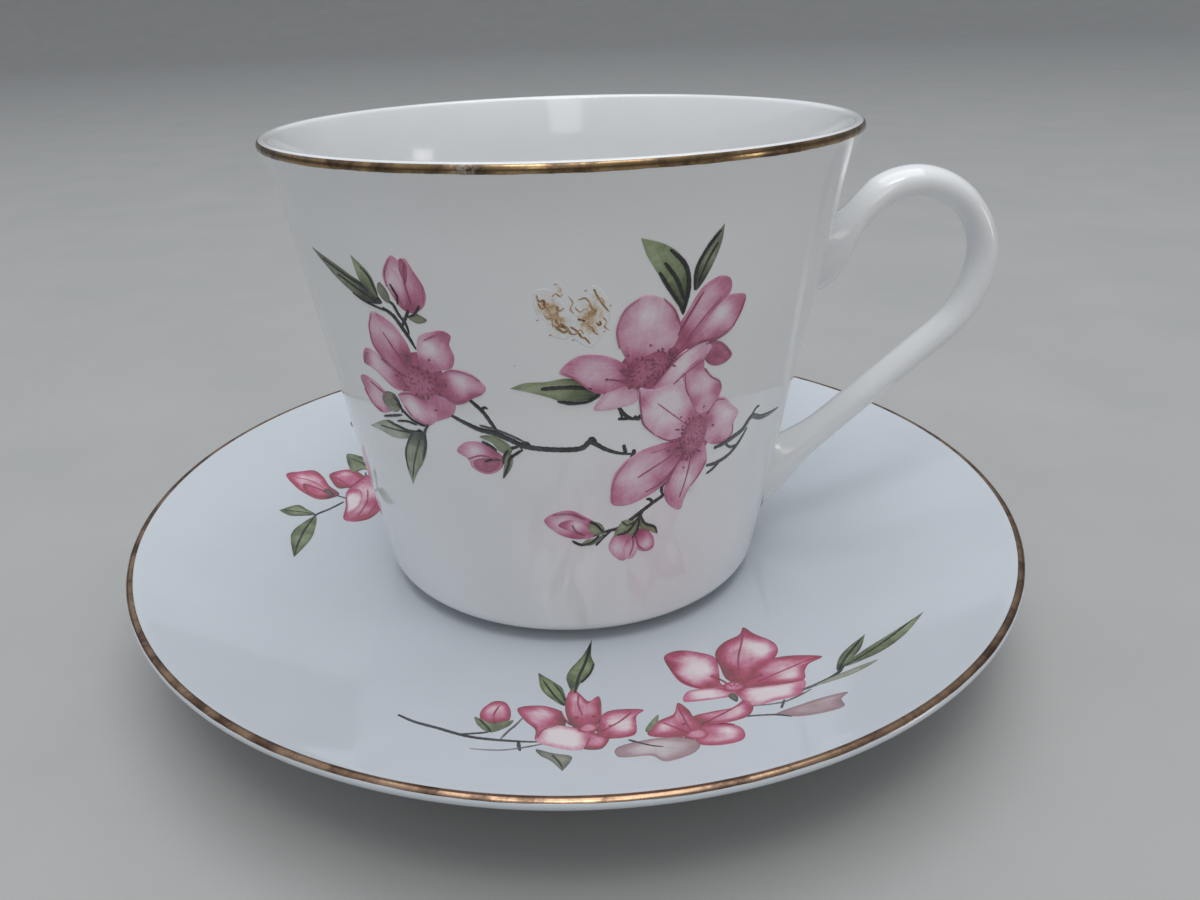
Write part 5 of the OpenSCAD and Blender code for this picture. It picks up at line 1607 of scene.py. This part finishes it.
def soft_sky(low, high):
    """Ambient light that is dim and neutral near the horizon and bright and cool overhead."""
    world = bpy.data.worlds.new("studio")
    world.use_nodes = True
    tree = world.node_tree
    background = tree.nodes["Background"]
    coords = tree.nodes.new("ShaderNodeTexCoord")
    dot = tree.nodes.new("ShaderNodeVectorMath")
    dot.operation = "DOT_PRODUCT"
    dot.inputs[1].default_value = SKY_AXIS
    ramp = tree.nodes.new("ShaderNodeValToRGB")
    for stop, position, colour in zip(ramp.color_ramp.elements, (0.0, 1.0), (low, high)):
        stop.position = position
        stop.color = (*colour, 1.0)
    tree.links.new(coords.outputs["Generated"], dot.inputs[0])
    tree.links.new(dot.outputs["Value"], ramp.inputs["Fac"])
    tree.links.new(ramp.outputs["Color"], background.inputs["Color"])
    bpy.context.scene.world = world


soft_sky((0.10, 0.098, 0.095), (0.66, 0.70, 0.75))
bpy.context.scene.view_settings.view_transform = "Standard"
bpy.context.scene.view_settings.look = "None"

CAMERA_PLACE = Vector((-0.0004, -0.1429, 0.0915))
CAMERA_YAW, CAMERA_PITCH, CAMERA_ROLL = (math.radians(v) for v in (-0.65, 25.27, -2.07))
CAMERA_LENS, SENSOR_W = 28.09, 36.0
CAMERA_SHIFT = (0.0358, 0.0033)
CAMERA_CLIP_START = 0.01


def camera_turn():
    """Rotation of a camera that looks along yaw and pitch, rolled about its line of sight."""
    ahead = Vector((math.sin(CAMERA_YAW) * math.cos(CAMERA_PITCH),
                    math.cos(CAMERA_YAW) * math.cos(CAMERA_PITCH), -math.sin(CAMERA_PITCH)))
    level = Vector((math.cos(CAMERA_YAW), -math.sin(CAMERA_YAW), 0))
    upright = level.cross(ahead)
    right = math.cos(CAMERA_ROLL) * level + math.sin(CAMERA_ROLL) * upright
    up = math.cos(CAMERA_ROLL) * upright - math.sin(CAMERA_ROLL) * level
    return Matrix((right, up, -ahead)).transposed().to_euler()


camera_data = bpy.data.cameras.new("camera")
camera_data.sensor_width = SENSOR_W
camera_data.lens = CAMERA_LENS
camera_data.shift_x, camera_data.shift_y = CAMERA_SHIFT
camera_data.clip_start = CAMERA_CLIP_START
camera = bpy.data.objects.new("camera", camera_data)
camera.location = CAMERA_PLACE
camera.rotation_euler = camera_turn()
bpy.context.scene.collection.objects.link(camera)
bpy.context.scene.camera = camera
